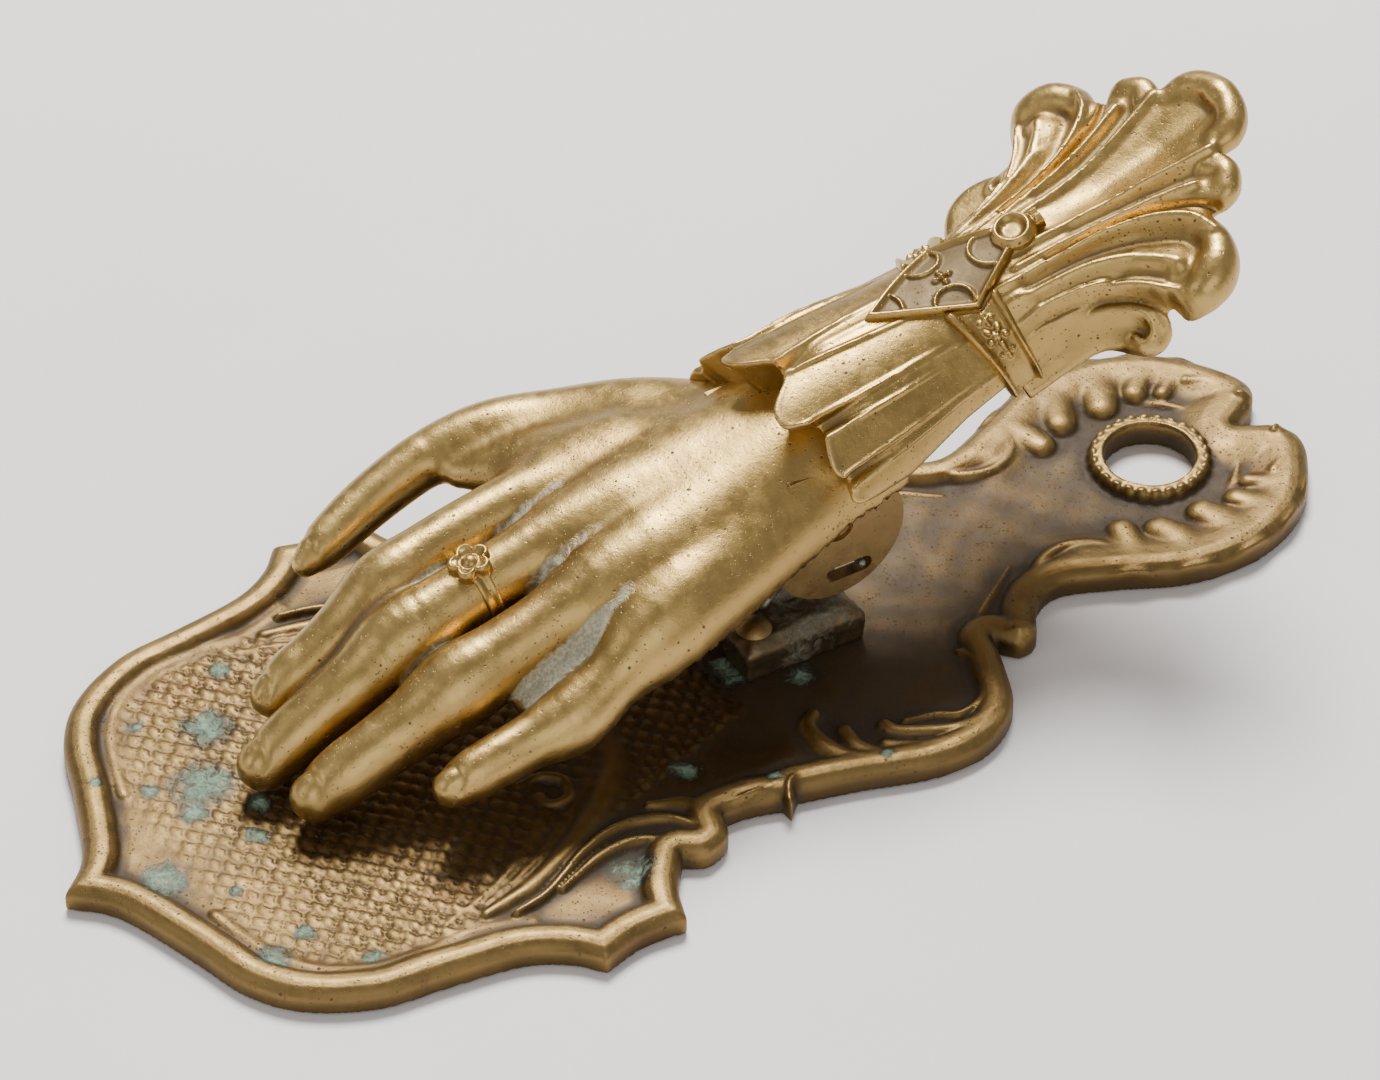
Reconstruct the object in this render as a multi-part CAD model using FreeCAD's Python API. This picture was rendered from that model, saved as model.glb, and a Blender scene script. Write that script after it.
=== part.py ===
"""A Victorian cast-brass letter clip in the form of a lady's left hand on an ornate wall plate.

The hand, with its pleated cuff and a shell for the thumb to press, is a lever. It turns on a pin in a
bracket that stands on the plate, and a torsion spring holds its fingertips down on the plate's scaled
field. The plate hangs from one collared hole. Row frame: millimetres, +Z up off the plate's flat back,
+Y from the fingertips towards the hanging hole, origin under the middle of the plate.
"""

import FreeCAD
import Part

import math
import os

from FreeCAD import Vector

# ---- driving dimensions ------------------------------------------------------------------------
PLATE_LENGTH = 143.4
PLATE_EDGE_Z = 2.0        # top of the plate's outer edge
FIELD_Z = 1.7             # the sunk field inside the rim
RIM_Z = 3.0               # crest of the raised rim
RIM_INSET = 0.6           # the rim's crest starts this far in from the edge
RIM_WIDTH = 2.5
SAMPLE = 1.2              # step along the outline where the rim follows it
HOLE_Y = 127.6            # hanging hole, measured from the plate's pointed end
HOLE_R = 4.8
COLLAR_R = 6.3
COLLAR_Z = 3.4
COLLAR_BEADS = 22
BEAD_R = 0.75

PIN_Y = 84.0
PIN_Z = 18.6
PIN_R = 1.6
PIN_HALF = 7.9
RUNNING_GAP = 0.05

FOOT_HALF_WIDTH = 8.0
FOOT_Y = (73.5, 87.5)
FOOT_Z = 6.4
FOOT_CHAMFER = 1.2
LUG_HALF = 2.8
LUG_R = 4.2
RIVET_R = 1.4
RIVET_HEAD_R = 2.3
RIVET_Y = 75.9            # the foot has one rivet each side of the lug
RIVET_X = 5.2

EAR_IN = 6.8              # the lever's two ears, inner and outer faces
EAR_OUT = 8.3
EAR_R = 7.6
EAR_DROP = 1.2            # the ears' round end is centred this far under the pin
EAR_TOP = 27.0
SLOT_LENGTH = 5.4
SLOT_R = 0.9
SLOT_Y = 85.2
SLOT_Z = 12.6

WIRE_R = 0.45
COIL_R = 2.6
COIL_PITCH = 0.95
COIL_TURNS = 2.5
COIL_X = 3.6

LEVER_TILT = 23.0         # the cuff and shell rise at this angle
CUFF_Y = 85.5             # the cuff's mouth, where the tilted axis starts
CUFF_Z = 24.3
WALL = 1.7
PLEATS = 3                # grooves each side of the cuff's middle one
PLEAT_STEP = 19.0         # degrees between grooves

PART_DIR = "parts"


def at(x, y, z):
    """A point given with y measured from the plate's pointed end."""
    return Vector(x, y - PLATE_LENGTH / 2, z)


def on_lever(x, along, above):
    """A point in the tilted frame of the cuff: along its axis and above it."""
    tilt = math.radians(LEVER_TILT)
    y = CUFF_Y + along * math.cos(tilt) - above * math.sin(tilt)
    z = CUFF_Z + along * math.sin(tilt) + above * math.cos(tilt)
    return at(x, y, z)


def save(shape, node):
    """Writes one node's STEP file."""
    shape.exportStep(os.path.join(PART_DIR, node + ".step"))
    print(node, "solids", len(shape.Solids), "valid", shape.isValid(), "mm3", round(shape.Volume, 1))


def curve(points):
    """A smooth edge through points."""
    spline = Part.BSplineCurve()
    spline.interpolate(points)
    return spline.toShape()


def block(low, high):
    """A box between two corners, each (x, y, z) with y from the plate's pointed end."""
    corner = at(*low)
    return Part.makeBox(high[0] - low[0], high[1] - low[1], high[2] - low[2], corner)


def cross_pin(radius, x_low, x_high, y=PIN_Y, z=PIN_Z):
    """A cylinder across the plate, along X."""
    return Part.makeCylinder(radius, x_high - x_low, at(x_low, y, z), Vector(1, 0, 0))


def limb(joints):
    """A finger: cones between (x, y, z, radius) joints, with a ball at each."""
    pieces = []
    for x, y, z, r in joints:
        pieces.append(Part.makeSphere(r * 1.01, at(x, y, z)))
    for (xa, ya, za, ra), (xb, yb, zb, rb) in zip(joints, joints[1:]):
        start, end = at(xa, ya, za), at(xb, yb, zb)
        way = end - start
        if ra == rb:
            pieces.append(Part.makeCylinder(ra, way.Length, start, way))
        else:
            pieces.append(Part.makeCone(ra, rb, way.Length, start, way))
    return pieces[0].multiFuse(pieces[1:])


def oval(centre, across, up, half_width, half_height):
    """An elliptical wire about centre, with its two half axes along across and up."""
    normal = across.cross(up)
    if half_width >= half_height:
        ellipse = Part.Ellipse(centre + across * half_width, centre + up * half_height, centre)
    else:
        normal = normal.negative()
        ellipse = Part.Ellipse(centre + up * half_height, centre - across * half_width, centre)
    return Part.Wire(ellipse.toShape())


# ---- plate -------------------------------------------------------------------------------------
# Half of the outline, from the pointed end to the notch at the hole end. Each run is smooth and
# meets the next at a cusp. Figures are (x, y) with y from the pointed end.
HALF_OUTLINE = [
    [(0, 0), (4.1, 4.0), (12.8, 7.4), (19.6, 9.7), (24.4, 13.5), (27.8, 20.0), (28.7, 27.0),
     (29.8, 34.5), (31.9, 38.8), (34.8, 41.6)],
    [(34.8, 41.6), (33.6, 46.4), (33.9, 51.2)],
    [(33.9, 51.2), (29.6, 52.7), (26.1, 55.2)],
    [(26.1, 55.2), (27.2, 57.6), (26.0, 60.5), (23.2, 61.6)],
    [(23.2, 61.6), (23.3, 64.6), (24.2, 67.8)],
    [(24.2, 67.8), (25.8, 68.0)],
    [(25.8, 68.0), (24.0, 69.8)],
    [(24.0, 69.8), (25.5, 75.8), (27.9, 84.0), (27.6, 90.3), (24.2, 95.2), (18.4, 97.7), (15.1, 98.6)],
    [(15.1, 98.6), (17.2, 100.6), (16.5, 102.9), (12.9, 105.3), (11.5, 109.0), (13.5, 114.6),
     (16.7, 122.0), (17.1, 130.0), (14.1, 137.3), (8.4, 142.1), (4.4, 143.4), (1.5, 141.6)],
    [(1.5, 141.6), (0, 138.8)],
]


def outline_runs():
    """Every run of the outline in order round the plate, as smooth edges at z = 0."""
    right = [[at(x, y, 0) for x, y in run] for run in HALF_OUTLINE]
    left = [[Vector(-p.x, p.y, p.z) for p in reversed(run)] for run in reversed(right)]
    return [curve(points) if len(points) > 2 else Part.makeLine(*points) for points in right + left]


def inset_outline(inset):
    """The outline drawn in by inset: points moved in from each run, less those a cusp crowds out."""
    runs = outline_runs()
    fence = [point for run in runs for point in run.discretize(round(run.Length / SAMPLE) * 8 + 1)]
    kept = []
    for run in runs:
        points = run.discretize(round(run.Length / SAMPLE) + 1)
        for i, point in enumerate(points):
            way = points[min(i + 1, len(points) - 1)] - points[max(i - 1, 0)]
            way.normalize()
            moved = point + Vector(-way.y, way.x, 0) * inset
            room = min(moved.distanceToPoint(other) for other in fence)
            if room > 0.99 * inset and (not kept or moved.distanceToPoint(kept[-1]) > SAMPLE / 4):
                kept.append(moved)
    return Part.makePolygon(kept + kept[:1])


def hanging_collar():
    """The raised, beaded collar round the hanging hole, without its bore."""
    collar = Part.makeCylinder(COLLAR_R, COLLAR_Z - FIELD_Z, at(0, HOLE_Y, FIELD_Z))
    beads = []
    for i in range(COLLAR_BEADS):
        turn = 2 * math.pi * i / COLLAR_BEADS
        x = (COLLAR_R - 0.1) * math.cos(turn)
        y = HOLE_Y + (COLLAR_R - 0.1) * math.sin(turn)
        beads.append(Part.makeCylinder(BEAD_R, COLLAR_Z - 0.3 - FIELD_Z, at(x, y, FIELD_Z)))
    return collar.multiFuse(beads)


def back_plate():
    """The cast plate: a flat back, a sunk field, a raised rim and the collared hole."""
    body = Part.Face(Part.Wire(outline_runs())).extrude(Vector(0, 0, PLATE_EDGE_Z))
    crest = Part.Face(inset_outline(RIM_INSET)).extrude(Vector(0, 0, RIM_Z))
    field = Part.Face(inset_outline(RIM_INSET + RIM_WIDTH)).extrude(Vector(0, 0, RIM_Z))
    field.translate(Vector(0, 0, FIELD_Z))
    body = body.fuse(crest).cut(field).fuse(hanging_collar())
    bores = [Part.makeCylinder(HOLE_R, 2 * COLLAR_Z, at(0, HOLE_Y, -COLLAR_Z / 2))]
    for side in (-1, 1):
        bores.append(rivet_shank(side))
    return body.cut(bores[0].multiFuse(bores[1:])).removeSplitter()


def rivet_shank(side):
    """The shank of the rivet on one side of the bracket, from the plate's back to the foot's top."""
    return Part.makeCylinder(RIVET_R, FOOT_Z, at(side * RIVET_X, RIVET_Y, 0))


def bracket_rivets():
    """Two rivets through the plate and the foot, flush at the back, with domed heads."""
    rivets = []
    for side in (-1, 1):
        head = Part.makeSphere(RIVET_HEAD_R, at(side * RIVET_X, RIVET_Y, FOOT_Z - 1.3))
        above = Part.makeCylinder(RIVET_HEAD_R, RIVET_HEAD_R, at(side * RIVET_X, RIVET_Y, FOOT_Z))
        rivets.append(rivet_shank(side).fuse(head.common(above)))
    return Part.makeCompound(rivets)


def pivot_bracket():
    """The bracket: a chamfered foot on the plate and one lug, bored for the pin."""
    foot = block((-FOOT_HALF_WIDTH, FOOT_Y[0], FIELD_Z), (FOOT_HALF_WIDTH, FOOT_Y[1], FOOT_Z))
    top_edges = [e for e in foot.Edges if min(v.Z for v in e.Vertexes) > FOOT_Z - 0.01]
    foot = foot.makeChamfer(FOOT_CHAMFER, top_edges)
    lug = cross_pin(LUG_R, -LUG_HALF, LUG_HALF)
    post = block((-LUG_HALF, PIN_Y - LUG_R, FOOT_Z - 1), (LUG_HALF, PIN_Y + 3.4, PIN_Z))
    body = foot.fuse(post).fuse(lug)
    body = body.cut(cross_pin(PIN_R + RUNNING_GAP, -LUG_HALF - 1, LUG_HALF + 1))
    for side in (-1, 1):
        body = body.cut(rivet_shank(side))
    return body.removeSplitter()


# ---- pin, ears and spring ----------------------------------------------------------------------
def hinge_pin():
    """The pin, pressed into both ears and running in the bracket's lug."""
    return cross_pin(PIN_R, -PIN_HALF, PIN_HALF)


def slot_cutter():
    """A slot across both ears, under the pin, for the spring's hooked end."""
    half = SLOT_LENGTH / 2 - SLOT_R
    ends = [cross_pin(SLOT_R, -EAR_OUT - 1, EAR_OUT + 1, SLOT_Y + s * half, SLOT_Z) for s in (-1, 1)]
    middle = block((-EAR_OUT - 1, SLOT_Y - half, SLOT_Z - SLOT_R),
                   (EAR_OUT + 1, SLOT_Y + half, SLOT_Z + SLOT_R))
    return middle.multiFuse(ends)


def hinge_ears():
    """The two round-ended ears that hang inside the wrist, one each side of the bracket."""
    ears = []
    for low, high in ((-EAR_OUT, -EAR_IN), (EAR_IN, EAR_OUT)):
        disc = cross_pin(EAR_R, low, high, PIN_Y, PIN_Z - EAR_DROP)
        neck = block((low, PIN_Y - 6.0, PIN_Z - EAR_DROP), (high, PIN_Y + 6.0, EAR_TOP))
        ear = disc.fuse(neck).cut(cross_pin(PIN_R, -EAR_OUT - 1, EAR_OUT + 1))
        ears.append(ear.cut(slot_cutter()).removeSplitter())
    return Part.makeCompound(ears)


def wire_run(points):
    """A round wire through points, with a ball at each bend."""
    return limb([(x, y, z, WIRE_R) for x, y, z in points])


def torsion_spring():
    """The spring: a coil round the pin, one leg on the bracket's foot, one hooked in an ear's slot."""
    height = COIL_TURNS * COIL_PITCH
    helix = Part.makeHelix(COIL_PITCH, height, COIL_R)
    section = Part.Wire(Part.makeCircle(WIRE_R, Vector(COIL_R, 0, 0), Vector(0, 1, 0)))
    coil = Part.Wire(helix.Edges).makePipeShell([section], True, True)
    # the coil's own axis is turned to lie along X, with its start under the pin
    coil.rotate(Vector(), Vector(0, 1, 0), 90)
    coil.translate(at(COIL_X, PIN_Y, PIN_Z))
    start = (COIL_X, PIN_Y, PIN_Z - COIL_R)
    end = (COIL_X + height, PIN_Y, PIN_Z + COIL_R)
    fixed_leg = wire_run([start, (COIL_X + 0.2, PIN_Y - 6.5, FOOT_Z + WIRE_R + 0.05)])
    hook = (EAR_IN - 0.75, SLOT_Y + 1.6, SLOT_Z)
    moving_leg = wire_run([end, (hook[0], PIN_Y + COIL_R + 0.9, PIN_Z + 0.6), hook,
                           (EAR_OUT + 0.4, SLOT_Y + 1.6, SLOT_Z)])
    return coil.multiFuse([fixed_leg, moving_leg])


# ---- hand --------------------------------------------------------------------------------------
# Joint centres and radii, from the knuckle to the fingertip, with y from the plate's pointed end.
FINGERS = {
    "index": [(-10.0, 62.0, 19.4, 4.0), (-9.9, 42.2, 15.7, 3.7), (-9.4, 35.1, 11.6, 3.1), (-8.9, 28.3, 8.3, 2.3)],
    "middle": [(-3.2, 60.5, 19.9, 4.2), (-3.2, 40.1, 14.9, 3.9), (-3.1, 30.2, 9.3, 3.2), (-3.0, 24.0, 5.7, 2.6)],
    "ring": [(4.4, 60.5, 19.5, 4.1), (4.5, 41.9, 13.4, 4.0), (4.3, 33.5, 9.6, 3.3), (4.0, 26.2, 6.1, 2.6)],
    "little": [(11.0, 61.8, 18.0, 3.9), (12.8, 50.4, 12.4, 3.2), (12.8, 43.8, 11.0, 2.7), (12.8, 36.8, 9.4, 2.0)],
    "thumb": [(-9.0, 80.5, 22.6, 4.4), (-15.0, 74.5, 20.9, 4.2), (-19.8, 67.5, 18.9, 3.6), (-24.2, 54.5, 16.6, 2.8),
              (-23.8, 47.5, 14.2, 2.6), (-21.6, 39.6, 11.8, 1.7)],
}
# The palm and wrist: y, centre x, half width, crown z, springing z. Each section is half an oval
# that stands on the springing line.
PALM = [
    (53.5, 0.9, 10.8, 20.6, 14.4),
    (56.5, 0.8, 13.2, 23.4, 14.6),
    (64.0, 0.2, 14.2, 26.0, 15.6),
    (72.0, -0.9, 12.9, 28.2, 17.4),
    (80.0, -0.2, 10.8, 30.0, 19.6),
    (90.0, 0.0, 9.9, 32.0, 22.6),
]


def shell_of(sections, wall):
    """A loft through oval sections, and the same drawn in by the wall, for hollowing."""
    across, up = Vector(1, 0, 0), Vector(0, 0, 1)
    wires = []
    for y, x, half_width, crown, spring in sections:
        wires.append(oval(at(x, y, spring), across, up, half_width - wall, crown - spring - wall))
    return Part.makeLoft(wires, True, False)


def below_hand():
    """The space under the hand's open edge, which rises from the knuckles to the wrist."""
    corners = [at(0, 40, -10), at(0, 40, 12.6), at(0, 56.5, 13.6), at(0, 92, 22.6), at(0, 92, -10)]
    face = Part.Face(Part.makePolygon(corners + corners[:1]))
    wedge = face.extrude(Vector(60, 0, 0))
    wedge.translate(Vector(-30, 0, 0))
    return wedge


def hand():
    """The cast hand: a hollow palm and wrist, four fingers and the thumb."""
    palm = shell_of(PALM, 0).cut(below_hand())
    solid = palm.multiFuse([limb(joints) for joints in FINGERS.values()])
    hollow_sections = [(y - 1 if y > 89 else y, x, w, c, s) for y, x, w, c, s in PALM[2:]]
    hollow = shell_of(hollow_sections, WALL + 0.3)
    beyond = shell_of([hollow_sections[-1], (94.0,) + hollow_sections[-1][1:]], WALL + 0.3)
    solid = solid.cut(hollow).cut(beyond)
    return max(solid.Solids, key=lambda s: s.Volume)


def finger_ring():
    """The ring on the middle finger, with a round flower on top."""
    (xa, ya, za, ra), (xb, yb, zb, rb) = FINGERS["middle"][:2]
    share = 0.5
    centre = at(xa + (xb - xa) * share, ya + (yb - ya) * share, za + (zb - za) * share)
    way = (at(xb, yb, zb) - at(xa, ya, za)).normalize()
    radius = ra + (rb - ra) * share
    band = Part.makeCylinder(radius + 0.45, 1.6, centre - way * 0.8, way)
    band = band.cut(Part.makeCylinder(radius - 0.1, 3.2, centre - way * 1.6, way))
    up = Vector(0, 0, 1) - way * way.z
    up.normalize()
    flower = Part.makeCylinder(2.0, 1.0, centre + up * radius, up)
    return band.fuse(flower)


# ---- cuff, strap, lace and shell, all in the tilted frame ---------------------------------------
# Sections of the cuff: along the axis, half width, crown height, springing height.
CUFF = [(-1.5, 12.8, 11.2, -0.6), (6.0, 11.4, 9.6, -0.9), (13.0, 9.8, 7.8, -1.4), (20.0, 8.9, 6.4, -2.2)]
STRAP = [(17.4, 9.8, 7.4, -2.2), (22.2, 9.7, 6.95, -2.9)]


def arch(sections, extra):
    """A loft through tilted oval sections, each grown by extra."""
    across = Vector(1, 0, 0)
    tilt = math.radians(LEVER_TILT)
    up = Vector(0, -math.sin(tilt), math.cos(tilt))
    wires = []
    for along, half_width, crown, spring in sections:
        wires.append(oval(on_lever(0, along, spring), across, up, half_width + extra, crown - spring + extra))
    return Part.makeLoft(wires, True, False)


def below_lever(drop):
    """The space under the tilted parts' open edge."""
    corners = [on_lever(-30, -20, -40), on_lever(-30, 70, -40), on_lever(-30, 70, drop - 2.2),
               on_lever(-30, 20, drop - 2.2), on_lever(-30, -20, drop)]
    face = Part.Face(Part.makePolygon(corners + corners[:1]))
    return face.extrude(Vector(60, 0, 0))


def cuff():
    """The pleated cuff: a tapered arch, open below, that the wrist comes out of."""
    longer = [(CUFF[0][0] - 2,) + CUFF[0][1:]] + CUFF[1:-1] + [(CUFF[-1][0] + 2,) + CUFF[-1][1:]]
    sleeve = arch(CUFF, 0).cut(arch(longer, -WALL)).cut(below_lever(-0.6))
    sleeve = max(sleeve.Solids, key=lambda s: s.Volume)
    pleats = []
    for i in range(-PLEATS, PLEATS + 1):
        turn = math.radians(PLEAT_STEP * i)
        ends = []
        for along, half_width, crown, spring in (CUFF[0], CUFF[2]):
            x = math.sin(turn) * (half_width + 0.5)
            above = spring + math.cos(turn) * (crown - spring + 0.5)
            ends.append(on_lever(x, along, above))
        way = ends[1] - ends[0]
        pleats.append(Part.makeCone(1.1, 0.6, way.Length, ends[0], way))
    return sleeve.cut(pleats[0].multiFuse(pleats[1:]))


def wrist_strap():
    """The strap round the narrow end of the cuff, with a small flower each side."""
    band = arch(STRAP, 0).cut(cuff_outer()).cut(below_lever(-0.6))
    band = max(band.Solids, key=lambda s: s.Volume)
    flowers = []
    for side in (-1, 1):
        middle = on_lever(side * 7.4, 20.0, 3.3)
        way = on_lever(side * 7.4 + side * 0.75, 20.0, 3.95) - middle
        flowers.append(Part.makeCylinder(1.7, 1.3, middle, way))
    return band.multiFuse(flowers)


def cuff_outer():
    """The outside of the cuff, run on past its narrow end, as a solid."""
    return arch(CUFF + [(24.0, 8.7, 6.2, -2.6)], 0)


def lace_panel():
    """The three-cornered lace panel that lies over the strap, with a ring at its top."""
    corners = [on_lever(0, 9.5, 0), on_lever(-6.6, 20.5, 0), on_lever(0, 29.0, 0), on_lever(6.6, 20.5, 0)]
    face = Part.Face(Part.makePolygon(corners + corners[:1]))
    tilt = math.radians(LEVER_TILT)
    up = Vector(0, -math.sin(tilt), math.cos(tilt))
    column = face.extrude(up * 14)
    sheet = arch([(8.0, 11.8, 9.9, -1.1), (20.0, 10.0, 7.6, -2.4), (31.0, 10.2, 7.3, -3.0)], 0)
    inner = arch([(7.0, 11.0, 9.1, -1.1), (20.0, 9.6, 7.0, -2.4), (32.0, 9.8, 6.7, -3.0)], 0)
    panel = column.common(sheet.cut(inner))
    return max(panel.Solids, key=lambda s: s.Volume)


# The shell's lobes: (x, along, above) of each lobe's end, its half width and half thickness.
LOBES = [
    (0.0, 52.6, 4.6, 4.2, 2.6),
    (8.0, 47.2, 3.0, 4.0, 2.5),
    (14.6, 41.4, 1.6, 3.9, 2.5),
    (13.4, 31.2, -3.3, 2.4, 1.8),
]
NECK_ALONG = 18.5


def lobe(x, along, above, half_width, half_thickness):
    """One petal of the shell, lofted from the strap to its rounded end."""
    start = on_lever(x * 0.42, NECK_ALONG, above * 0.3 + 1.6)
    end = on_lever(x, along, above)
    way = (end - start).normalize()
    across = Vector(1, 0, 0) - way * way.x
    across.normalize()
    up = across.cross(way).normalize()
    length = (end - start).Length
    shares = [(0.0, 0.45), (0.45, 0.72), (0.8, 1.0), (1.0, 0.86), (1.06, 0.35)]
    wires = []
    for share, size in shares:
        centre = start + way * (length * share)
        wires.append(oval(centre, across, up, half_width * size, half_thickness * size))
    return Part.makeLoft(wires, True, False)


def thumb_shell():
    """The fan-shaped shell that the thumb presses: five petals, two small scrolls and a web."""
    petals = []
    for x, along, above, half_width, half_thickness in LOBES:
        for side in ((1,) if x == 0 else (-1, 1)):
            petals.append(lobe(side * x, along, above, half_width, half_thickness))
    web_wires = []
    for along, half_width, above, half_thickness in ((NECK_ALONG, 7.0, 1.6, 2.6), (28.0, 9.6, 1.6, 1.6),
                                                     (38.0, 12.6, 1.9, 1.3), (44.0, 10.5, 2.4, 1.1)):
        tilt = math.radians(LEVER_TILT)
        up = Vector(0, -math.sin(tilt), math.cos(tilt))
        web_wires.append(oval(on_lever(0, along, above), Vector(1, 0, 0), up, half_width, half_thickness))
    web = Part.makeLoft(web_wires, True, False)
    return web.multiFuse(petals)


NODES = {
    "back_plate": back_plate,
    "bracket_rivets": bracket_rivets,
    "pivot_bracket": pivot_bracket,
    "hinge_pin": hinge_pin,
    "hinge_ears": hinge_ears,
    "torsion_spring": torsion_spring,
    "hand": hand,
    "finger_ring": finger_ring,
    "cuff": cuff,
    "wrist_strap": wrist_strap,
    "lace_panel": lace_panel,
    "thumb_shell": thumb_shell,
}

os.makedirs(PART_DIR, exist_ok=True)
for node, make in NODES.items():
    save(make(), node)
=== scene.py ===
"""The letter clip's finished look: cast brass pieces skinned from solid fields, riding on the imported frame.

Lengths are in millimetres, and y runs from the plate's pointed end, until place() makes them the row frame's
metres. Cuff and shell have the lever's tilted frame: across, along it, and above it.
"""
import math

import bpy
import numpy as np
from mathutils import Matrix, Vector


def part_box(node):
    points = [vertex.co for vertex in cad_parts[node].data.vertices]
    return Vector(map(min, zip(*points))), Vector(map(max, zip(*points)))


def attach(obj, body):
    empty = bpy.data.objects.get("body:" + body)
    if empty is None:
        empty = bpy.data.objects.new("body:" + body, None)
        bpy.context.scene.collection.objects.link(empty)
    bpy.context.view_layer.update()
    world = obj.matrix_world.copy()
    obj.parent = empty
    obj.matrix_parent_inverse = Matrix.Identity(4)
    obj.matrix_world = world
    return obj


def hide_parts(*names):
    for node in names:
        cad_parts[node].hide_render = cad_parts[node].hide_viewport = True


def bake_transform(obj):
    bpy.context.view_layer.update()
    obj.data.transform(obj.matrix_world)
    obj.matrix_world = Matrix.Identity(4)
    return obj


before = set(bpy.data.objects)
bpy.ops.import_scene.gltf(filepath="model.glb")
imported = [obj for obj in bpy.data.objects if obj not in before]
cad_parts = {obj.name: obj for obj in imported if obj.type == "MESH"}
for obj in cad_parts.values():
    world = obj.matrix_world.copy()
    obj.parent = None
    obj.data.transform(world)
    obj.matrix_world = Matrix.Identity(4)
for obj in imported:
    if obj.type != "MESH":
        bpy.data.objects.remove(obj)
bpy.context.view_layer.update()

MM = 0.001
TIP_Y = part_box("back_plate")[0][1]
PLATE_LENGTH = (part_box("back_plate")[1][1] - TIP_Y) / MM


# ---- solid fields: arrays that are negative inside ----
CORNERS = np.array([(i, j, k) for i in (0, 1) for j in (0, 1) for k in (0, 1)])
CELL_EDGES = [(a, b) for a in range(8) for b in range(a + 1, 8) if np.abs(CORNERS[a] - CORNERS[b]).sum() == 1]


def grid(low, high, step):
    """Open coordinate arrays over a box, its low corner and its step."""
    low, high = np.array(low, float), np.array(high, float)
    step = np.broadcast_to(np.array(step, float), 3) * 1
    axes = [np.arange(low[i], high[i] + step[i], step[i], dtype=np.float32) for i in range(3)]
    return np.meshgrid(*axes, indexing="ij", sparse=True), low, step


def skin(field, low, step):
    """The quad surface where a sampled field crosses zero, by surface nets: points and quads."""
    inside = field < 0
    cells = tuple(n - 1 for n in field.shape)
    count = np.zeros(cells, np.int8)
    for i, j, k in CORNERS:
        count += inside[i:i + cells[0], j:j + cells[1], k:k + cells[2]]
    crossed = (count > 0) & (count < 8)
    where = np.argwhere(crossed)
    index = np.full(cells, -1, np.int32)
    index[crossed] = np.arange(len(where))
    value = [field[where[:, 0] + i, where[:, 1] + j, where[:, 2] + k] for i, j, k in CORNERS]
    total = np.zeros((len(where), 3))
    hits = np.zeros(len(where))
    for a, b in CELL_EDGES:
        cut = (value[a] < 0) != (value[b] < 0)
        share = value[a][cut] / (value[a][cut] - value[b][cut])
        total[cut] += CORNERS[a] + share[:, None] * (CORNERS[b] - CORNERS[a])
        hits[cut] += 1
    points = (where + total / hits[:, None]) * step + low
    quads = []
    for axis in range(3):
        u, v = (axis + 1) % 3, (axis + 2) % 3
        here = np.moveaxis(inside, (axis, u, v), (0, 1, 2))
        cell = np.moveaxis(index, (axis, u, v), (0, 1, 2))
        first, second = here[:-1, 1:-1, 1:-1], here[1:, 1:-1, 1:-1]
        for leaving in (True, False):
            i, j, k = np.nonzero(first & ~second if leaving else ~first & second)
            ring = [cell[i, j, k], cell[i, j + 1, k], cell[i, j + 1, k + 1], cell[i, j, k + 1]]
            quads.append(np.stack(ring if leaving else ring[::-1], axis=1))
    return points, np.concatenate(quads)


def smooth_min(a, b, k):
    """The union of two fields, filleted over about k."""
    share = np.clip(0.5 + 0.5 * (b - a) / k, 0, 1)
    return b + (a - b) * share - k * share * (1 - share)


def smooth_max(a, b, k):
    """The intersection of two fields, rounded over about k."""
    return -smooth_min(-a, -b, k)


def round_cone(p, a, b, ra, rb):
    """A limb between points a and b whose radius goes from ra to rb."""
    way = b - a
    along = sum((p[i] - a[i]) * way[i] for i in range(3)) / way.dot(way)
    along = np.clip(along, 0, 1)
    off = [p[i] - a[i] - along * way[i] for i in range(3)]
    return np.sqrt(off[0] ** 2 + off[1] ** 2 + off[2] ** 2) - (ra + (rb - ra) * along)


def spline(points, per_run=8):
    """A Catmull-Rom curve through points of any dimension."""
    points = np.array(points, float)
    padded = np.vstack([2 * points[0] - points[1], points, 2 * points[-1] - points[-2]])
    t = np.linspace(0, 1, per_run, endpoint=False)[:, None]
    out = []
    for a, b, c, d in zip(padded, padded[1:], padded[2:], padded[3:]):
        out.append(0.5 * (2 * b + (c - a) * t + (2 * a - 5 * b + 4 * c - d) * t ** 2
                          + (3 * b - a - 3 * c + d) * t ** 3))
    return np.vstack(out + [points[-1:]])


def near_path(x, y, path):
    """Distance from each (x, y) to a path, and how far along it the nearest place is, 0 to 1."""
    lengths = np.linalg.norm(np.diff(path, axis=0), axis=1)
    ends = np.concatenate([[0], np.cumsum(lengths)])
    best = np.full(np.broadcast(x, y).shape, 1e9, np.float32)
    share = np.zeros_like(best)
    for (ax, ay), (bx, by), start, length in zip(path[:-1], path[1:], ends, lengths):
        along = np.clip(((x - ax) * (bx - ax) + (y - ay) * (by - ay)) / max(length, 1e-6) ** 2, 0, 1)
        gap = (x - ax - along * (bx - ax)) ** 2 + (y - ay - along * (by - ay)) ** 2
        closer = gap < best
        best = np.where(closer, gap, best)
        share = np.where(closer, (start + along * length) / ends[-1], share)
    return np.sqrt(best), share


def step_up(x, low, high):
    """A smooth step from 0 at low to 1 at high."""
    t = np.clip((x - low) / (high - low), 0, 1)
    return t * t * (3 - 2 * t)


def trim(field, *others):
    """A field intersected with others, given as (field, rounding) pairs."""
    for other, k in others:
        field = smooth_max(field, other, k)
    return field


def bell(x, width):
    """1 at x = 0, falling off to either side over about width."""
    return np.exp(-(x / width) ** 2)


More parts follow.
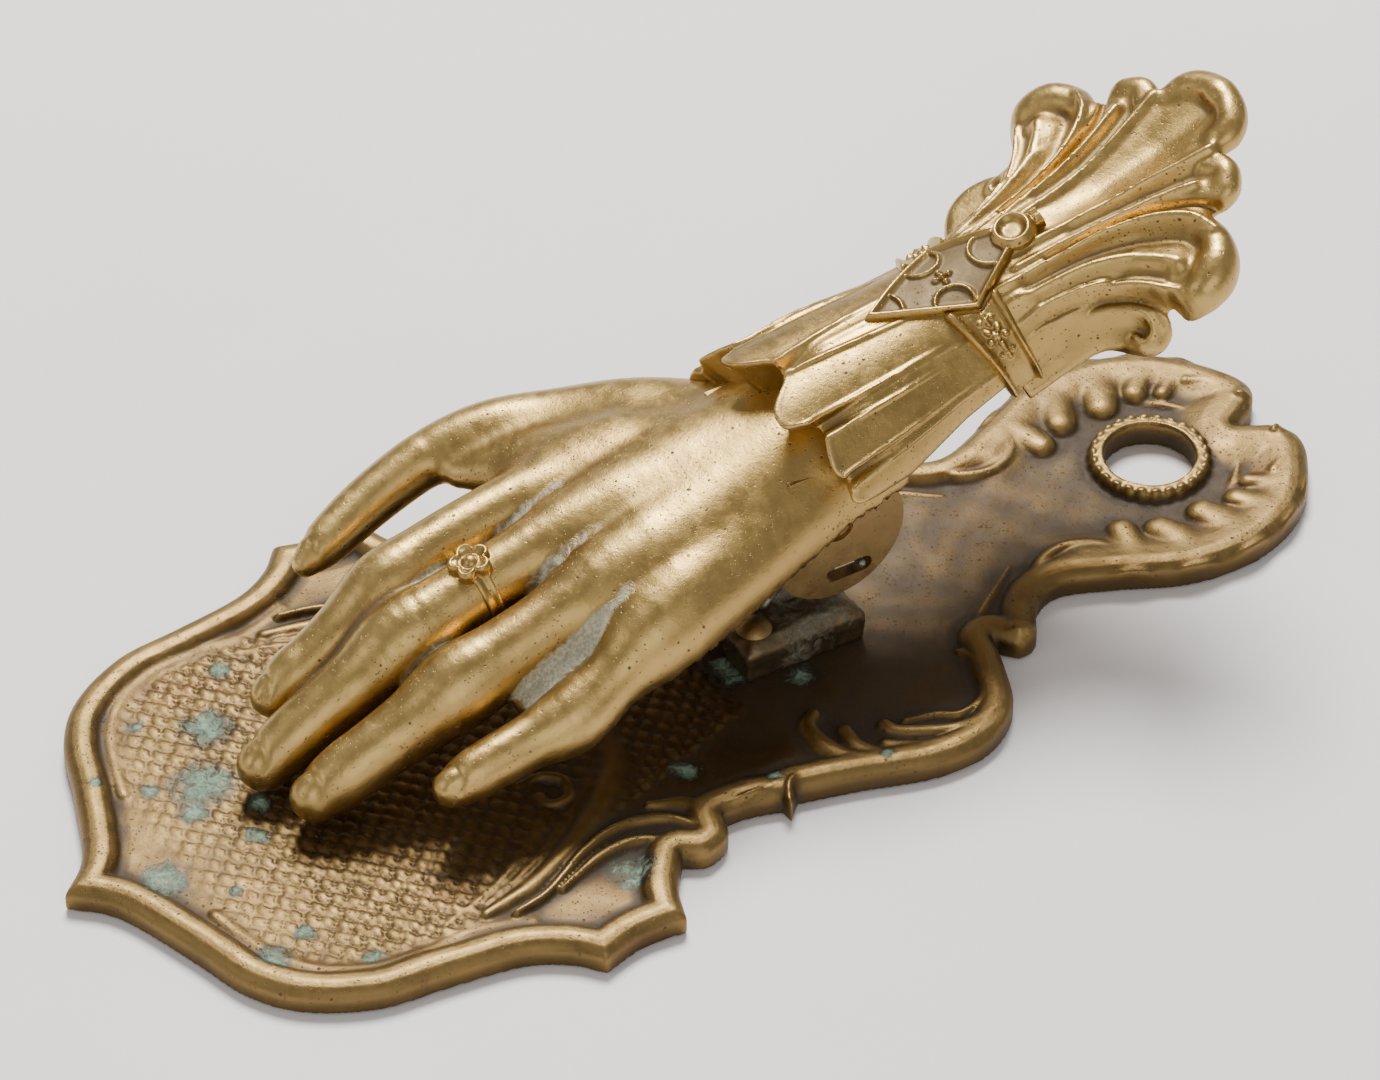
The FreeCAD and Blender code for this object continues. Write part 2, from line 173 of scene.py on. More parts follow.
def dome(x, power=2):
    """1 at x = 0, falling to 0 at x = 1 either side."""
    return np.clip(1 - np.abs(x) ** power, 0, 1)


def rows_at(table, at):
    """Each column of a table after the first, read at places along the first."""
    first, *rest = np.array(table, float).T
    return [np.interp(at, first, column) for column in rest]


def axes_round(way):
    """A unit way, the most upward direction square to it, and the third axis."""
    way = way / np.linalg.norm(way)
    up = np.array([0, 0, 1.0]) - way * way[2]
    up /= np.linalg.norm(up)
    return way, up, np.cross(way, up)


# ---- pieces ----
def place(points):
    """Plate millimetres to the row frame's metres."""
    return points * MM + np.array([0, TIP_Y, 0])


def stand(name, data):
    """A new object in the scene."""
    obj = bpy.data.objects.new(name, data)
    bpy.context.scene.collection.objects.link(obj)
    return obj


def piece(name, points, quads, body, replaced, marks=None):
    """One finished piece. marks are per-point numbers that its material reads."""
    mesh = bpy.data.meshes.new(name)
    mesh.from_pydata(place(points), [], quads)
    mesh.polygons.foreach_set("use_smooth", np.ones(len(quads), bool))
    for mark, values in (marks or {}).items():
        mesh.attributes.new(mark, "FLOAT", "POINT").data.foreach_set("value", values.astype(np.float32))
    obj = stand(name, mesh)
    if body:
        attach(obj, body)
    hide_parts(*replaced)
    return obj


def relief(points, quads, reach):
    """How far each point stands proud of the surface smoothed over reach rounds."""
    a, b = quads.T.ravel(), np.roll(quads, -1, axis=1).T.ravel()
    starts, ends = np.concatenate([a, b]), np.concatenate([b, a])
    degree = np.maximum(np.bincount(starts, minlength=len(points)), 1)[:, None]

    def spread(values):
        sums = [np.bincount(starts, column[ends], len(points)) for column in values.T]
        return np.stack(sums, 1) / degree

    corner = points[quads]
    facing = np.cross(corner[:, 2] - corner[:, 0], corner[:, 3] - corner[:, 1])
    normal = np.stack([sum(np.bincount(quads[:, c], facing[:, i], len(points)) for c in range(4))
                       for i in range(3)], 1)
    normal /= np.maximum(np.linalg.norm(normal, axis=1), 1e-9)[:, None]
    smooth = points
    for _ in range(reach):
        smooth = spread(smooth)
    proud = ((points - smooth) * normal).sum(1)[:, None]
    for _ in range(2):
        proud = spread(proud)
    return proud[:, 0]


def cast_marks(points, quads, fine, wide):
    """A clean casting's marks: its relief at a fine and a wide reach, and no green."""
    return {"proud": relief(points, quads, fine), "broad": relief(points, quads, wide),
            "verdigris": np.zeros(len(points))}


# ---- the wall plate ----
# Half of the outline, (x, y) from the pointed end to the notch, in smooth runs that each go on from the last.
HALF_OUTLINE = [
    [(0, 0), (4.1, 4), (12.8, 7.4), (19.6, 9.7), (24.4, 13.5), (27.8, 20), (28.7, 27), (29.8, 34.5),
     (31.9, 38.8), (34.8, 41.6)],
    [(33.6, 46.4), (33.9, 51.2)],
    [(29.6, 52.7), (26.1, 55.2)],
    [(27.2, 57.6), (26, 60.5), (23.2, 61.6)],
    [(23.3, 64.6), (24.2, 67.8)],
    [(25.8, 68)],
    [(24, 69.8)],
    [(25.5, 75.8), (27.9, 84), (27.6, 90.3), (24.2, 95.2), (18.4, 97.7), (15.1, 98.6)],
    [(17.2, 100.6), (16.5, 102.9), (12.9, 105.3), (11.5, 109), (13.5, 114.6), (16.7, 122), (17.1, 130),
     (14.1, 137.3), (8.4, 142.1), (4.4, 143.4), (1.5, 141.6)],
    [(0, 138.8)],
]
HOLE_Y = 127.6
HOLE_R = 4.85
FIELD = 1.7
HEAD_FROM, HEAD_TO = 108, 114     # where the rim broadens into the head's
# The rim across its width, and the same round the head: distance in from the edge, height.
RIM = [(0, 1.9), (0.25, 2.25), (0.8, 2.75), (1.7, 3), (2.7, 2.85), (3.4, 2.35), (3.9, 1.72), (4.3, 1.6),
       (4.9, 1.78), (5.4, 1.72)]
HEAD_RIM = [(0, 1.9), (0.3, 2.3), (1, 2.8), (2, 3), (3.8, 2.8), (5.6, 2.35), (7.4, 1.85), (8.4, 1.72)]
# The collar round the hole: radius, height. Its beads sit on a circle of their own.
COLLAR = [(4.6, 2.9), (4.9, 3.15), (5.5, 3.05), (6, 2.7), (6.4, 2.3), (7, 0)]
BEADS, BEAD_CIRCLE, BEAD_HALF = 26, 5.95, 0.75
HEAD_ARCH_R = 9.3
# Raised lines on the plate's right half, mirrored on its left: path, half width at start, middle and end, height.
LINES = [
    # the moulding inside the rim, and the big scroll with its curl
    ([(26.4, 38), (24.6, 33), (24.9, 27), (24.2, 21), (21, 16.2), (16, 13.3), (10, 11.6)], (0.9, 1.2, 0.8), 0.42),
    ([(6.5, 57.6), (11.5, 55.9), (15.7, 51.7), (19.4, 46.2), (22, 40.6), (23.4, 34.5)], (1.7, 1.5, 0.7), 0.75),
    ([(8.6, 54.4), (12.6, 52.2), (16.2, 47.6), (19.6, 42), (22.2, 35)], (0.8, 0.7, 0.4), 0.5),
    ([(9.2, 46), (9.3, 48.8), (11.2, 50.4), (13.3, 49.4), (13.1, 47.4), (11.7, 47.2)], (0.5, 0.75, 0.7), 0.8),
    ([(13.2, 47.6), (15.8, 44.2), (18.6, 40.6), (21, 35.6), (22.6, 30.5)], (0.9, 0.7, 0.3), 0.45),
    # the lobe beside the first notch
    ([(26.6, 58), (23.3, 58.3), (20.8, 56.4), (19.7, 53.3), (19.9, 50), (21.1, 46.6), (22.8, 43.4),
      (24.2, 40.5), (24.9, 37)], (0.7, 0.75, 0.4), 0.95),
    ([(26.2, 60), (23, 60.6), (19.9, 59.2), (18.2, 56)], (1.3, 1.4, 0.5), 0.75),
    ([(25.4, 55.2), (23.4, 54.6), (22, 52.2), (22, 49), (23, 45.6), (24.2, 42.6)], (0.7, 0.8, 0.4), 0.8),
    # the flat length of rim, and the spur above it
    ([(21.2, 62.4), (20.9, 66), (21.8, 70)], (1.2, 1.3, 1.1), 0.7),
    ([(22.5, 62.6), (22.8, 67.6)], (0.35, 0.35, 0.35), 1.35),
    ([(22.2, 71.4), (23.2, 69.3), (25.5, 67.9)], (0.5, 0.6, 0.5), 1.3),
    # the side scroll's arc, and the band it hangs from
    ([(20.8, 84.4), (21.6, 87.5), (22.9, 89.7), (22.2, 92.5), (19.9, 94.5), (17.3, 95), (14.9, 94.5)],
     (0.5, 0.6, 0.45), 0.75),
    ([(22.7, 80.9), (25.3, 84.6), (26.4, 88.6), (25.7, 92.7), (23.2, 94.8)], (0.9, 1.2, 0.9), 0.95),
    # the knob above the second notch, and the moulding from it to the head
    ([(15.3, 100.6), (15.9, 102)], (1.15, 1.15, 1.15), 1.75),
    ([(14.6, 104.3), (10.6, 106.2), (7.9, 109), (7, 112.3), (8.2, 115.4), (10.6, 117.2)],
      (0.6, 0.9, 0.7), 0.85),
    ([(12.6, 97.2), (9.6, 101.6), (6.4, 106)], (0.5, 0.6, 0.3), 0.3),
    ([(2.9, 141), (3.6, 141.4)], (1.3, 1.4, 1.3), 1.5),
]
# Full, round-ended leaves in the same way: six round the head, three in the side scroll.
LEAVES = [
    ([(15.2, 115.4), (12, 117.8), (7.9, 119)], (2.4, 2.8, 1.9), 1),
    ([(17, 122.4), (13.4, 123.6), (9.8, 122.6)], (2.8, 3.1, 2.1), 1.05),
    ([(17, 129.4), (13.4, 129.6), (9.9, 127.9)], (2.8, 3.1, 2.1), 1.05),
    ([(15.4, 135.6), (12.6, 134.6), (9.9, 132.2)], (2.4, 2.8, 1.8), 1),
    ([(12, 139.6), (10.2, 137.6), (8.2, 134.6)], (2, 2, 1.3), 0.95),
    ([(2.6, 139.8), (4.4, 140.8), (7, 139.8), (8.4, 137.6)], (1.2, 1.3, 0.9), 1.1),
    ([(15.3, 76.8), (16.6, 75.5), (19.4, 75.3), (22.2, 76.4), (24.3, 78.7)], (1, 1.5, 1.3), 0.95),
    ([(19, 78.4), (21.6, 78.2), (24, 79.5), (25.5, 81.5)], (1, 1.4, 1.2), 0.95),
    ([(20.3, 82.3), (21.7, 82.9), (23.2, 85.3), (24.5, 88), (24.7, 90.9), (24.2, 93.6)], (0.9, 1, 0.8), 1),
]
SCALE_PITCH = 2.35
SCALE_R = 1.42


def outline_path():
    """The whole outline as one closed run of points."""
    right = spline(HALF_OUTLINE[0], 6)
    for run in HALF_OUTLINE[1:]:
        right = np.vstack([right[:-1], spline([right[-1], *run], 6)])
    left = right[-2:0:-1] * [-1, 1]
    return np.vstack([right, left, right[:1]])


def inside_of(path, x, y):
    """True where (x, y) lies inside a closed path."""
    odd = np.zeros(np.broadcast(x, y).shape, bool)
    for (ax, ay), (bx, by) in zip(path[:-1], path[1:]):
        if ay != by:
            odd ^= ((ay > y) != (by > y)) & (x < (bx - ax) * (y - ay) / (by - ay) + ax)
    return odd


def scales(x, y):
    """The fish-scale ground: round-ended tiles that overlap in staggered rows."""
    row_step = SCALE_PITCH * 0.5
    first = np.floor(y / row_step)
    height = np.zeros(np.broadcast(x, y).shape, np.float32)
    taken = np.zeros(height.shape, bool)
    for offset in (2, 1, 0, -1):
        row = first + offset
        shift = np.where(row % 2 == 0, 0.0, SCALE_PITCH / 2)
        cx = np.round((x - shift) / SCALE_PITCH) * SCALE_PITCH + shift
        dx, dy = (x - cx) / SCALE_R, (y - row * row_step) / SCALE_R
        reach = dx ** 2 + dy ** 2
        tile = 0.42 * (1 - np.clip(reach, 0, 1) ** 1.6)
        tile = tile - 0.10 * dy
        here = (reach < 1) & ~taken
        height = np.where(here, tile, height)
        taken |= here
    return height


def line_relief(x, y):
    """The height that the cast lines and leaves add, at each (x, y) with x made positive."""
    x = np.abs(x)
    height = np.zeros(np.broadcast(x, y).shape, np.float32)
    for index, (points, widths, top) in enumerate(LINES + LEAVES):
        path = spline(points, 6)
        pad = max(widths) * 2.2
        keep_x = (x[:, 0] > path[:, 0].min() - pad) & (x[:, 0] < path[:, 0].max() + pad)
        keep_y = (y[0] > path[:, 1].min() - pad) & (y[0] < path[:, 1].max() + pad)
        window = np.ix_(keep_x, keep_y)
        gap, share = near_path(x[keep_x], y[:, keep_y], path)
        half = np.interp(share, (0, 0.5, 1), widths)
        if index < len(LINES):
            bump = dome(gap / (1.35 * half)) ** 1.3 * (0.55 + 0.45 * np.sin(np.pi * np.clip(share, 0.06, 0.8)))
        else:
            bump = dome(gap / half) ** 0.6 * np.interp(share, (0, 0.6, 1), (0.72, 0.9, 1.0))
        height[window] = np.maximum(height[window], top * bump)
    return height


def collar_relief(x, y):
    """The collar round the hanging hole with its beads, as absolute heights."""
    r = np.hypot(x, y - HOLE_Y)
    turn = np.arctan2(y - HOLE_Y, x)
    beads = np.abs(np.cos(turn * BEADS / 2)) ** 0.8
    ring, = rows_at(COLLAR, r)
    off = (r - BEAD_CIRCLE) / BEAD_HALF
    bead = 3.35 - 1.5 * off ** 2 - 0.5 * (1 - beads)
    arch = FIELD + 0.55 * dome((r - HEAD_ARCH_R) / 0.9) * step_up(y, HOLE_Y + 3, HOLE_Y + 6)
    return np.maximum(np.maximum(ring, np.where(np.abs(off) < 1, bead, 0)), arch)


def back_plate():
    """The plate: a relief over its plan, with its wall and flat back."""
    half_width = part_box("back_plate")[1][0] / MM
    (x, y, z), low, step = grid((-half_width - 0.8, -0.8, -0.5), (half_width + 0.8, PLATE_LENGTH + 0.8, 4.6),
                                (0.27, 0.27, 0.3))
    fx, fy = x[:, :, 0], y[:, :, 0]
    path = outline_path()
    gap, _ = near_path(fx, fy, path)
    edge = np.where(inside_of(path, fx, fy), gap, -gap)
    head = step_up(fy, HEAD_FROM, HEAD_TO)
    rim = rows_at(RIM, edge)[0] * (1 - head) + rows_at(HEAD_RIM, edge)[0] * head
    scaled = step_up(edge, 4.4, 5.6) * step_up(fy, 9, 14) * step_up(-fy, -74, -69)
    scaled = scaled * step_up(24.4 - 0.35 * np.clip(fy - 33, 0, 60) - np.abs(fx), -0.6, 0.6)
    worn = 0.55 + 0.45 * step_up(fy, 14, 26)
    top = rim + scaled * worn * scales(fx, fy)
    top = smooth_max(top, FIELD + line_relief(fx, fy) * 1.25, 0.25)
    top = np.maximum(top, collar_relief(fx, fy))
    wobble = 0.05 * np.sin(fx * 0.9 + 1.3 * np.sin(fy * 0.31)) * np.sin(fy * 0.7 + np.sin(fx * 0.4))
    top = top + wobble * step_up(edge, 0.5, 3)
    bore = HOLE_R - np.hypot(fx, fy - HOLE_Y)
    solid = trim(z - top[:, :, None], (-edge[:, :, None], 0.35), (bore[:, :, None], 0.3))
    rivets = RIVET_R - np.hypot(np.abs(fx) - RIVET_X, fy - RIVET_Y)
    solid = np.maximum(np.maximum(solid, rivets[:, :, None]), -z)
    points, quads = skin(solid, low, step)
    points = np.clip(points, (-half_width, 0, 0), (half_width, PLATE_LENGTH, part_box("back_plate")[1][2] / MM))
    marks = cast_marks(points, quads, 14, 60)
    # Lower ground is darker for its worn hollows; the second term adds painted shade under the hand and shell.
    marks["broad"] += 0.55 * (points[:, 2] - 2.25) + painted_shade_under_lever(points)
    marks["verdigris"] = patches(points)
    return piece("plate_relief", points, quads, "plate", ["back_plate"], marks)


def painted_shade_under_lever(points):
    """Painted shade cast by the hand and shell: darkens the plate's sunk ground, a little from under the fingers
    on and more from the bracket to the head.
    """
    _, y, z = points.T
    return -(1 - step_up(z, 1.9, 2.6)) * (0.35 * step_up(y, 62, 78) + 0.3 * step_up(y, 30, 50))


# Green patches on the plate: x, y, radius.
PATCHES = [(-14, 23, 2.6), (-7, 19, 3.2), (3, 9.6, 2.4), (18, 13.8, 1.7), (15.6, 61.8, 1.7), (-9, 14, 1),
           (-21, 28, 1.3), (23, 22.3, 1), (16.6, 17.9, 1.1), (2.2, 20.4, 1.2), (-1.6, 22.6, 1.3),
           (25.2, 49.8, 2.3),
           (-4, 16.5, 1.6), (21.4, 68.5, 0.9), (-18, 17, 0.8), (8, 14.8, 0.7), (-12, 9.5, 0.8), (24.6, 80, 0.8),
           (5, 73, 2.6), (-5, 72.5, 2.2), (9.5, 79, 1.8), (-24, 47, 1.6), (-16.5, 60, 1.3)]


def patches(points):
    """How green each point is: 1 at a patch's middle, 0 beyond it."""
    green = np.zeros(len(points))
    for x, y, r in PATCHES:
        gap = np.hypot(points[:, 0] - x, points[:, 1] - y)
        green = np.maximum(green, 0.8 * (1 - step_up(gap, 0.0, 1.7 * r)))
    return green * (points[:, 2] > 1)


# ---- the hand ----
# Each digit from its knuckle to its tip: (x, y, z, radius).
DIGITS = {
    "index": [(-10, 62, 19.4, 4.5), (-10.4, 53, 18.6, 3.75), (-10.2, 46.5, 17.2, 3.8),
              (-9.9, 41.8, 15.5, 4.3),
              (-9.6, 37.4, 12.7, 3.55), (-9.3, 33.4, 10.5, 3.25), (-9.1, 31, 9.5, 3.2), (-8.9, 28.3, 8.3, 2.45)],
    "middle": [(-3.2, 60.5, 19.9, 4.7), (-3.2, 52, 18.3, 3.95), (-3.2, 45, 16.5, 4), (-3.2, 40.1, 14.7, 4.5),
               (-3.15, 35.2, 11.7, 3.75), (-3.1, 30.6, 9.4, 3.4), (-3.05, 27.4, 7.6, 3.35),
               (-3, 24, 5.7, 2.85)],
    "ring": [(4.4, 60.5, 19.5, 4.6), (4.6, 52.5, 17.1, 4), (4.6, 46.8, 15.3, 4.05), (4.5, 42.2, 13.6, 4.55),
             (4.4, 37.4, 11.2, 3.8), (4.3, 33, 9.3, 3.5), (4.15, 29.6, 7.7, 3.45), (4, 26.2, 6.1, 2.8)],
    "little": [(11, 61.8, 18, 4.2), (12.2, 55.6, 14.9, 3.4), (12.8, 50.4, 12.3, 3.8), (12.8, 46, 11.4, 3),
               (12.8, 41.6, 10.5, 2.85), (12.8, 39.2, 9.9, 2.75), (12.8, 36.8, 9.4, 2.15)],
    "thumb": [(-6.5, 82.5, 22, 4.2), (-14.6, 74.5, 20.3, 4.3), (-19.8, 67.5, 18.7, 3.8),
              (-23, 61, 18.2, 3.25),
              (-24.2, 54.5, 16.6, 2.95), (-23.8, 47.5, 14.2, 2.75), (-22.4, 41.8, 12.4, 2.4),
              (-21.4, 38.8, 11.6, 1.5)],
}
# Each finger's tendon, on from its knuckle under the back of the hand.
TENDONS = {
    "index": [(-8.8, 70, 20, 4), (-6.6, 79, 21, 3.4)],
    "middle": [(-2.8, 69, 21.4, 4.2), (-2.2, 79, 22.6, 3.6)],
    "ring": [(4.1, 69, 20.8, 4.1), (3, 79, 22, 3.6)],
    "little": [(9.8, 70, 19.4, 3.9), (7.6, 79, 21, 3.4)],
}
# The webs of skin between the ring and little fingers, and behind the thumb.
WEBS = {
    "little": [(8, 60, 17.8, 2), (8.1, 56, 16, 1.7), (8.3, 52.5, 14.7, 1.6), (8.5, 49.6, 13.1, 1.5),
               (8.7, 47.6, 12.1, 1.3)],
    "thumb": [(-11, 69, 20.5, 4.2), (-14.8, 63, 19.2, 3.6), (-17.6, 59, 17.9, 2.5),
              (-19.6, 56.2, 17, 1.3)],
}
# Each finger's joint with folds across it: which point of DIGITS it is, and how deep the folds are.
CREASES = {"index": (3, 0.03), "middle": (3, 0.10), "ring": (3, 0.05), "little": (2, 0.02)}
FINGER_NARROW = 0.9       # a finger's width as a share of its depth
# The back of the hand: y, centre x, half width, crown z, springing z.
BACK = [
    (53, 0.9, 10.5, 18, 14.4),
    (57, 0.8, 12.6, 21.4, 15),
    (64, 0.2, 13.9, 24.9, 15.8),
    (72, -0.5, 12.5, 27.4, 17.4),
    (80, 0.4, 10.4, 29.6, 19.6),
    (92, 0.5, 9.7, 32.6, 23),
]
OPEN_EDGE = [(40, 12.9), (56.5, 13.9), (64, 15.2), (92, 22.9)]
PALM_WALL, HOLLOW_FROM, WRIST_END = 1.9, 63.0, 91
# Nails: digit, half length, half width, and how far round the digit they are turned.
NAILS = [("index", 2.2, 1.6, 0.35), ("middle", 2.6, 1.95, 0.15), ("ring", 2.6, 1.95, 0),
         ("little", 2.2, 1.55, -0.1), ("thumb", 2.9, 1.6, 0.75)]
NAIL_PITCH = math.radians(38)
RING_Y = 49.3


def back_field(p, inset):
    """The rounded back of the hand, drawn in by inset."""
    x, y, z = p
    middle, half, crown, spring = rows_at(BACK, y)
    wide, tall = half - inset, crown - spring - inset
    reach = (np.abs((x - middle) / wide) ** 2.3 + np.abs((z - spring) / tall) ** 2.3) ** (1 / 2.3)
    side = (reach - 1) * np.minimum(wide, tall)
    return smooth_max(side, BACK[0][0] + 1.6 + inset + 0.03 * (x - 2) ** 2 - y, 3.0)


def limb(p, path, narrow=1.0):
    """A smooth limb along (x, y, z, radius) points, narrowed in x. It reads 9 where it is far away."""
    x, y, z = p
    reach = path[:, 3].max() + 5.5
    spans = [slice(*np.searchsorted(axis.ravel(), (path[:, i].min() - reach, path[:, i].max() + reach)))
             for i, axis in enumerate(p)]
    near_x, near_y, near_z = x[spans[0]], y[:, spans[1]], z[:, :, spans[2]]
    near = 9.0
    squeeze = np.array([1 / narrow, 1, 1])
    for (*a, ra), (*b, rb) in zip(path, path[1:]):
        near = np.minimum(near, round_cone((near_x / narrow, near_y, near_z), a * squeeze, b * squeeze, ra, rb))
    field = np.full(np.broadcast(x, y, z).shape, 9.0)
    field[tuple(spans)] = near
    return field


def tip_axes(path, roll):
    """The way a digit points at its tip, the nail's upward direction rolled round it, and the third axis."""
    way, up, side = axes_round(path[-1][:3] - path[-4][:3])
    return way, up * math.cos(roll) + side * math.sin(roll), side * math.cos(roll) - up * math.sin(roll)


def nail_marks(p, path, half_length, half_width, roll):
    """The line cut round a nail, to add to the hand's field."""
    way, up, side = tip_axes(path, roll)
    cos, sin = math.cos(NAIL_PITCH), math.sin(NAIL_PITCH)
    way, up = way * cos - up * sin, up * cos + way * sin
    middle = path[-1][:3] + up * path[-1][3] * 0.8
    u, v, w = [sum((p[i] - middle[i]) * axis[i] for i in range(3)) for axis in (way, side, up)]
    u, v = u / half_length, v / half_width
    reach = (np.abs(u) ** 2.4 + np.abs(v) ** 2.4) ** (1 / 2.4)
    groove = 0.26 * bell(reach - 1, 0.15)
    return groove * step_up(w, -2.4, -1.4) * (1 - 0.7 * step_up(u, 0.3, 0.9))


def creases(p, joint, depth):
    """Fine folds across a finger's joint."""
    x, y, z = p
    px, py, pz, radius = joint
    across = bell(x - px, 0.62 * radius) * step_up(z, pz, pz + 1)
    lines = sum(share * bell(y - py - shift - 0.05 * (x - px) ** 2, 0.42)
                for shift, share in ((-1.9, 0.7), (-0.4, 1.0), (1.1, 0.7)))
    return depth * lines * across


def hand():
    """The hollow palm and wrist, the four fingers and the thumb, in one cast piece."""
    p, low, step = grid((-28.5, 20, 1.8), (17.5, 92.0, 33.5), 0.36)
    x, y, z = p
    palm = back_field(p, 0)
    edge, = rows_at(OPEN_EDGE, y)
    ragged = 0.22 * np.sin(y * 4.1 + np.sin(y * 1.7)) + 0.18 * np.sin(y * 9.3)
    palm = smooth_max(palm, edge - z + ragged, 0.5)
    fingers = None
    paths = {name: spline(joints, 5) for name, joints in DIGITS.items()}
    for name, tendon in TENDONS.items():
        joint, depth = CREASES[name]
        field = limb(p, spline(tendon[::-1] + DIGITS[name], 5), FINGER_NARROW)
        field = field + creases(p, DIGITS[name][joint], depth)
        fingers = field if fingers is None else smooth_min(fingers, field, 0.9)
    fingers = smooth_min(fingers, limb(p, spline(WEBS["little"], 4)), 1.2)
    fingers = smooth_min(fingers, limb(p, spline(WEBS["thumb"], 4)), 3.4)
    solid = smooth_min(palm, fingers, 3.4)
    crease = bell(y - 54.2, 0.5) * bell(x + 24, 2.4) * (z > 17)
    solid = smooth_min(solid, limb(p, paths["thumb"]) + 0.10 * crease, 3.2)
    for name, half_length, half_width, roll in NAILS:
        solid = solid + nail_marks(p, paths[name], half_length, half_width, roll)
    hollow = smooth_max(back_field(p, PALM_WALL), HOLLOW_FROM - y, 1.5)
    solid = trim(solid, (-hollow, 0.6), (np.where(y > HOLLOW_FROM - 1, edge - z + ragged, -5.0), 0.4))
    solid = np.maximum(solid, y - WRIST_END)
    points, quads = skin(solid, low, step)
    marks = cast_marks(points, quads, 12, 60)
    marks["verdigris"] = hand_patches(points, marks["broad"])
    return piece("hand_cast", points, quads, "hand_lever", ["hand"], marks)


# Pale green lines left between the fingers: from and to, with their half width and how strong they are.
RESIDUE = [((0.8, 60), (0.8, 40), 1, 0.6), ((-6.8, 60), (-6.5, 44), 1.2, 0.6), ((8.2, 58), (8.8, 47), 1.8, 1.2)]


def hand_patches(points, broad):
    """Green in the hollows between the fingers."""
    green = np.zeros(len(points))
    for a, b, width, strength in RESIDUE:
        gap, _ = near_path(points[:, 0], points[:, 1], np.array([a, b], float))
        green = np.maximum(green, strength * (1 - step_up(gap, 0.4 * width, 1.6 * width)))
    return green * step_up(-broad, -0.1, 0.35)


def finger_ring():
    """The ring on the middle finger: a grooved band and a five-petalled flower."""
    path = spline(DIGITS["middle"], 5)
    at = np.abs(path[:, 1] - RING_Y).argmin()
    centre, radius = path[at][:3], path[at][3]
    way, up, side = axes_round(path[at + 1][:3] - path[at - 1][:3])
    (u, v, w), low, step = grid((-5.2, -3.4, -5.2), (5.2, 3.4, 6.2), 0.14)
    r = np.sqrt((u / FINGER_NARROW) ** 2 + w ** 2)
    sides = smooth_max(np.abs(v) - 0.85, radius - 0.3 - r, 0.15)
    band = smooth_max(r - (radius + 0.42 - 0.16 * bell(v, 0.32)), sides, 0.2)
    top = w - radius
    turn = np.arctan2(v, u)
    spread = np.hypot(u, v)
    reach = 1.5 + 0.85 * np.abs(np.cos(2.5 * turn + 0.3)) ** 0.7
    height = 0.85 - 0.05 * spread ** 2 + 0.28 * bell(reach - spread - 0.32, 0.26)
    height = height - 0.38 * bell(spread - 0.98, 0.3) + 0.2 * bell(spread, 0.5)
    flower = smooth_max(smooth_max(spread - reach, top - height, 0.3), -top - 0.6, 0.1)
    points, quads = skin(smooth_min(band, flower, 0.25), low, step)
    points = points @ np.array([side, way, up]) + centre
    marks = cast_marks(points, quads, 8, 20)
    return piece("flower_ring", points, quads, "hand_lever", ["finger_ring"], marks)


# ---- cuff, strap, lace and shell, in the lever's tilted frame ----
LEVER_TILT = math.radians(23.0)
CUFF_Y, CUFF_Z = 85.5, 24.3
# The sleeve's arch: along, half width, crown height, springing height.
ARCH = [(-4, 13.4, 11.6, -0.4), (-1.5, 12.8, 11.2, -0.6), (6, 11.4, 9.6, -0.9), (13, 9.8, 7.8, -1.4),
        (20, 8.9, 6.4, -2.2), (25, 9.1, 5.9, -2.4), (32, 9.6, 5.3, -2.4)]
UNROLL = 10.0             # millimetres of unrolled sheet to a radian round the arch
CUFF_WALL = 1.6
# The cuff's mouth: how far round in degrees, and along.
MOUTH = [(0, 0.4), (4, 0.3), (8, -0.3), (13, -1.8), (18, -3), (24, -3.4), (28, -3), (31.5, -1.3), (34, -0.5),
         (37, -0.2), (40, -0.4), (45, -1), (51, -1.6), (57, -1.9), (62, -1.5), (65, -1.1), (68, -1.4), (74, -2),
         (79, -1.3), (84, 0.2)]
# How much further out the mouth lies on the thumb's side, by degrees round.
THUMB_SIDE_MOUTH = [(30, 0), (50, 1.2), (66, 3.6), (84, 4.4)]
CUFF_END, SHELL_START = 20.6, 19.6
# Fine lines that edge the pleats: degrees round at the mouth, and more degrees to a millimetre along.
PLEAT_LINES = [(4, 0.55), (32, 0.45), (41, 0.55), (61, 0.45), (68, 0.4)]
# Folds between the pleats: degrees round, half width in degrees, and depth at the mouth.
FOLDS = [(0, 4, 1.5), (36.5, 4.5, 1.6), (65, 3.2, 0.9)]
# The strap: how far round in degrees, where its front edge lies and where its back edge lies.
STRAP = [(0, 17, 23.2), (28, 17, 23.1), (41, 17.3, 22.8), (53, 17.6, 22.5), (67, 17.9, 22.3), (96, 18.1, 22.1)]
FLOWER_TURN, FLOWER_ALONG = 0.90, 20.1
FLOWERS = [(0, 1.55, 5, 0.66), (-2.1, 1.05, 4, 0.55), (2.1, 1.05, 4, 0.55)]     # offset, radius, petals, height
LACE_TIP, LACE_SHOULDER, LACE_TOP = 10.4, 20.4, 27.9
LACE_HALF = 5.6
# The lace panel's arcs in the unrolled sheet: round, along, radius.
LACE_ARCS = [(0, 12, 2.6), (3.5, 18.9, 2), (-3.5, 18.9, 2), (0, 25.6, 2.4)]


def from_lever(points):
    """Lever frame (across, along, above) to plate millimetres."""
    x, a, h = np.asarray(points, float).T
    y = CUFF_Y + a * math.cos(LEVER_TILT) - h * math.sin(LEVER_TILT)
    z = CUFF_Z + a * math.sin(LEVER_TILT) + h * math.cos(LEVER_TILT)
    return np.stack([x, y, z], axis=1)


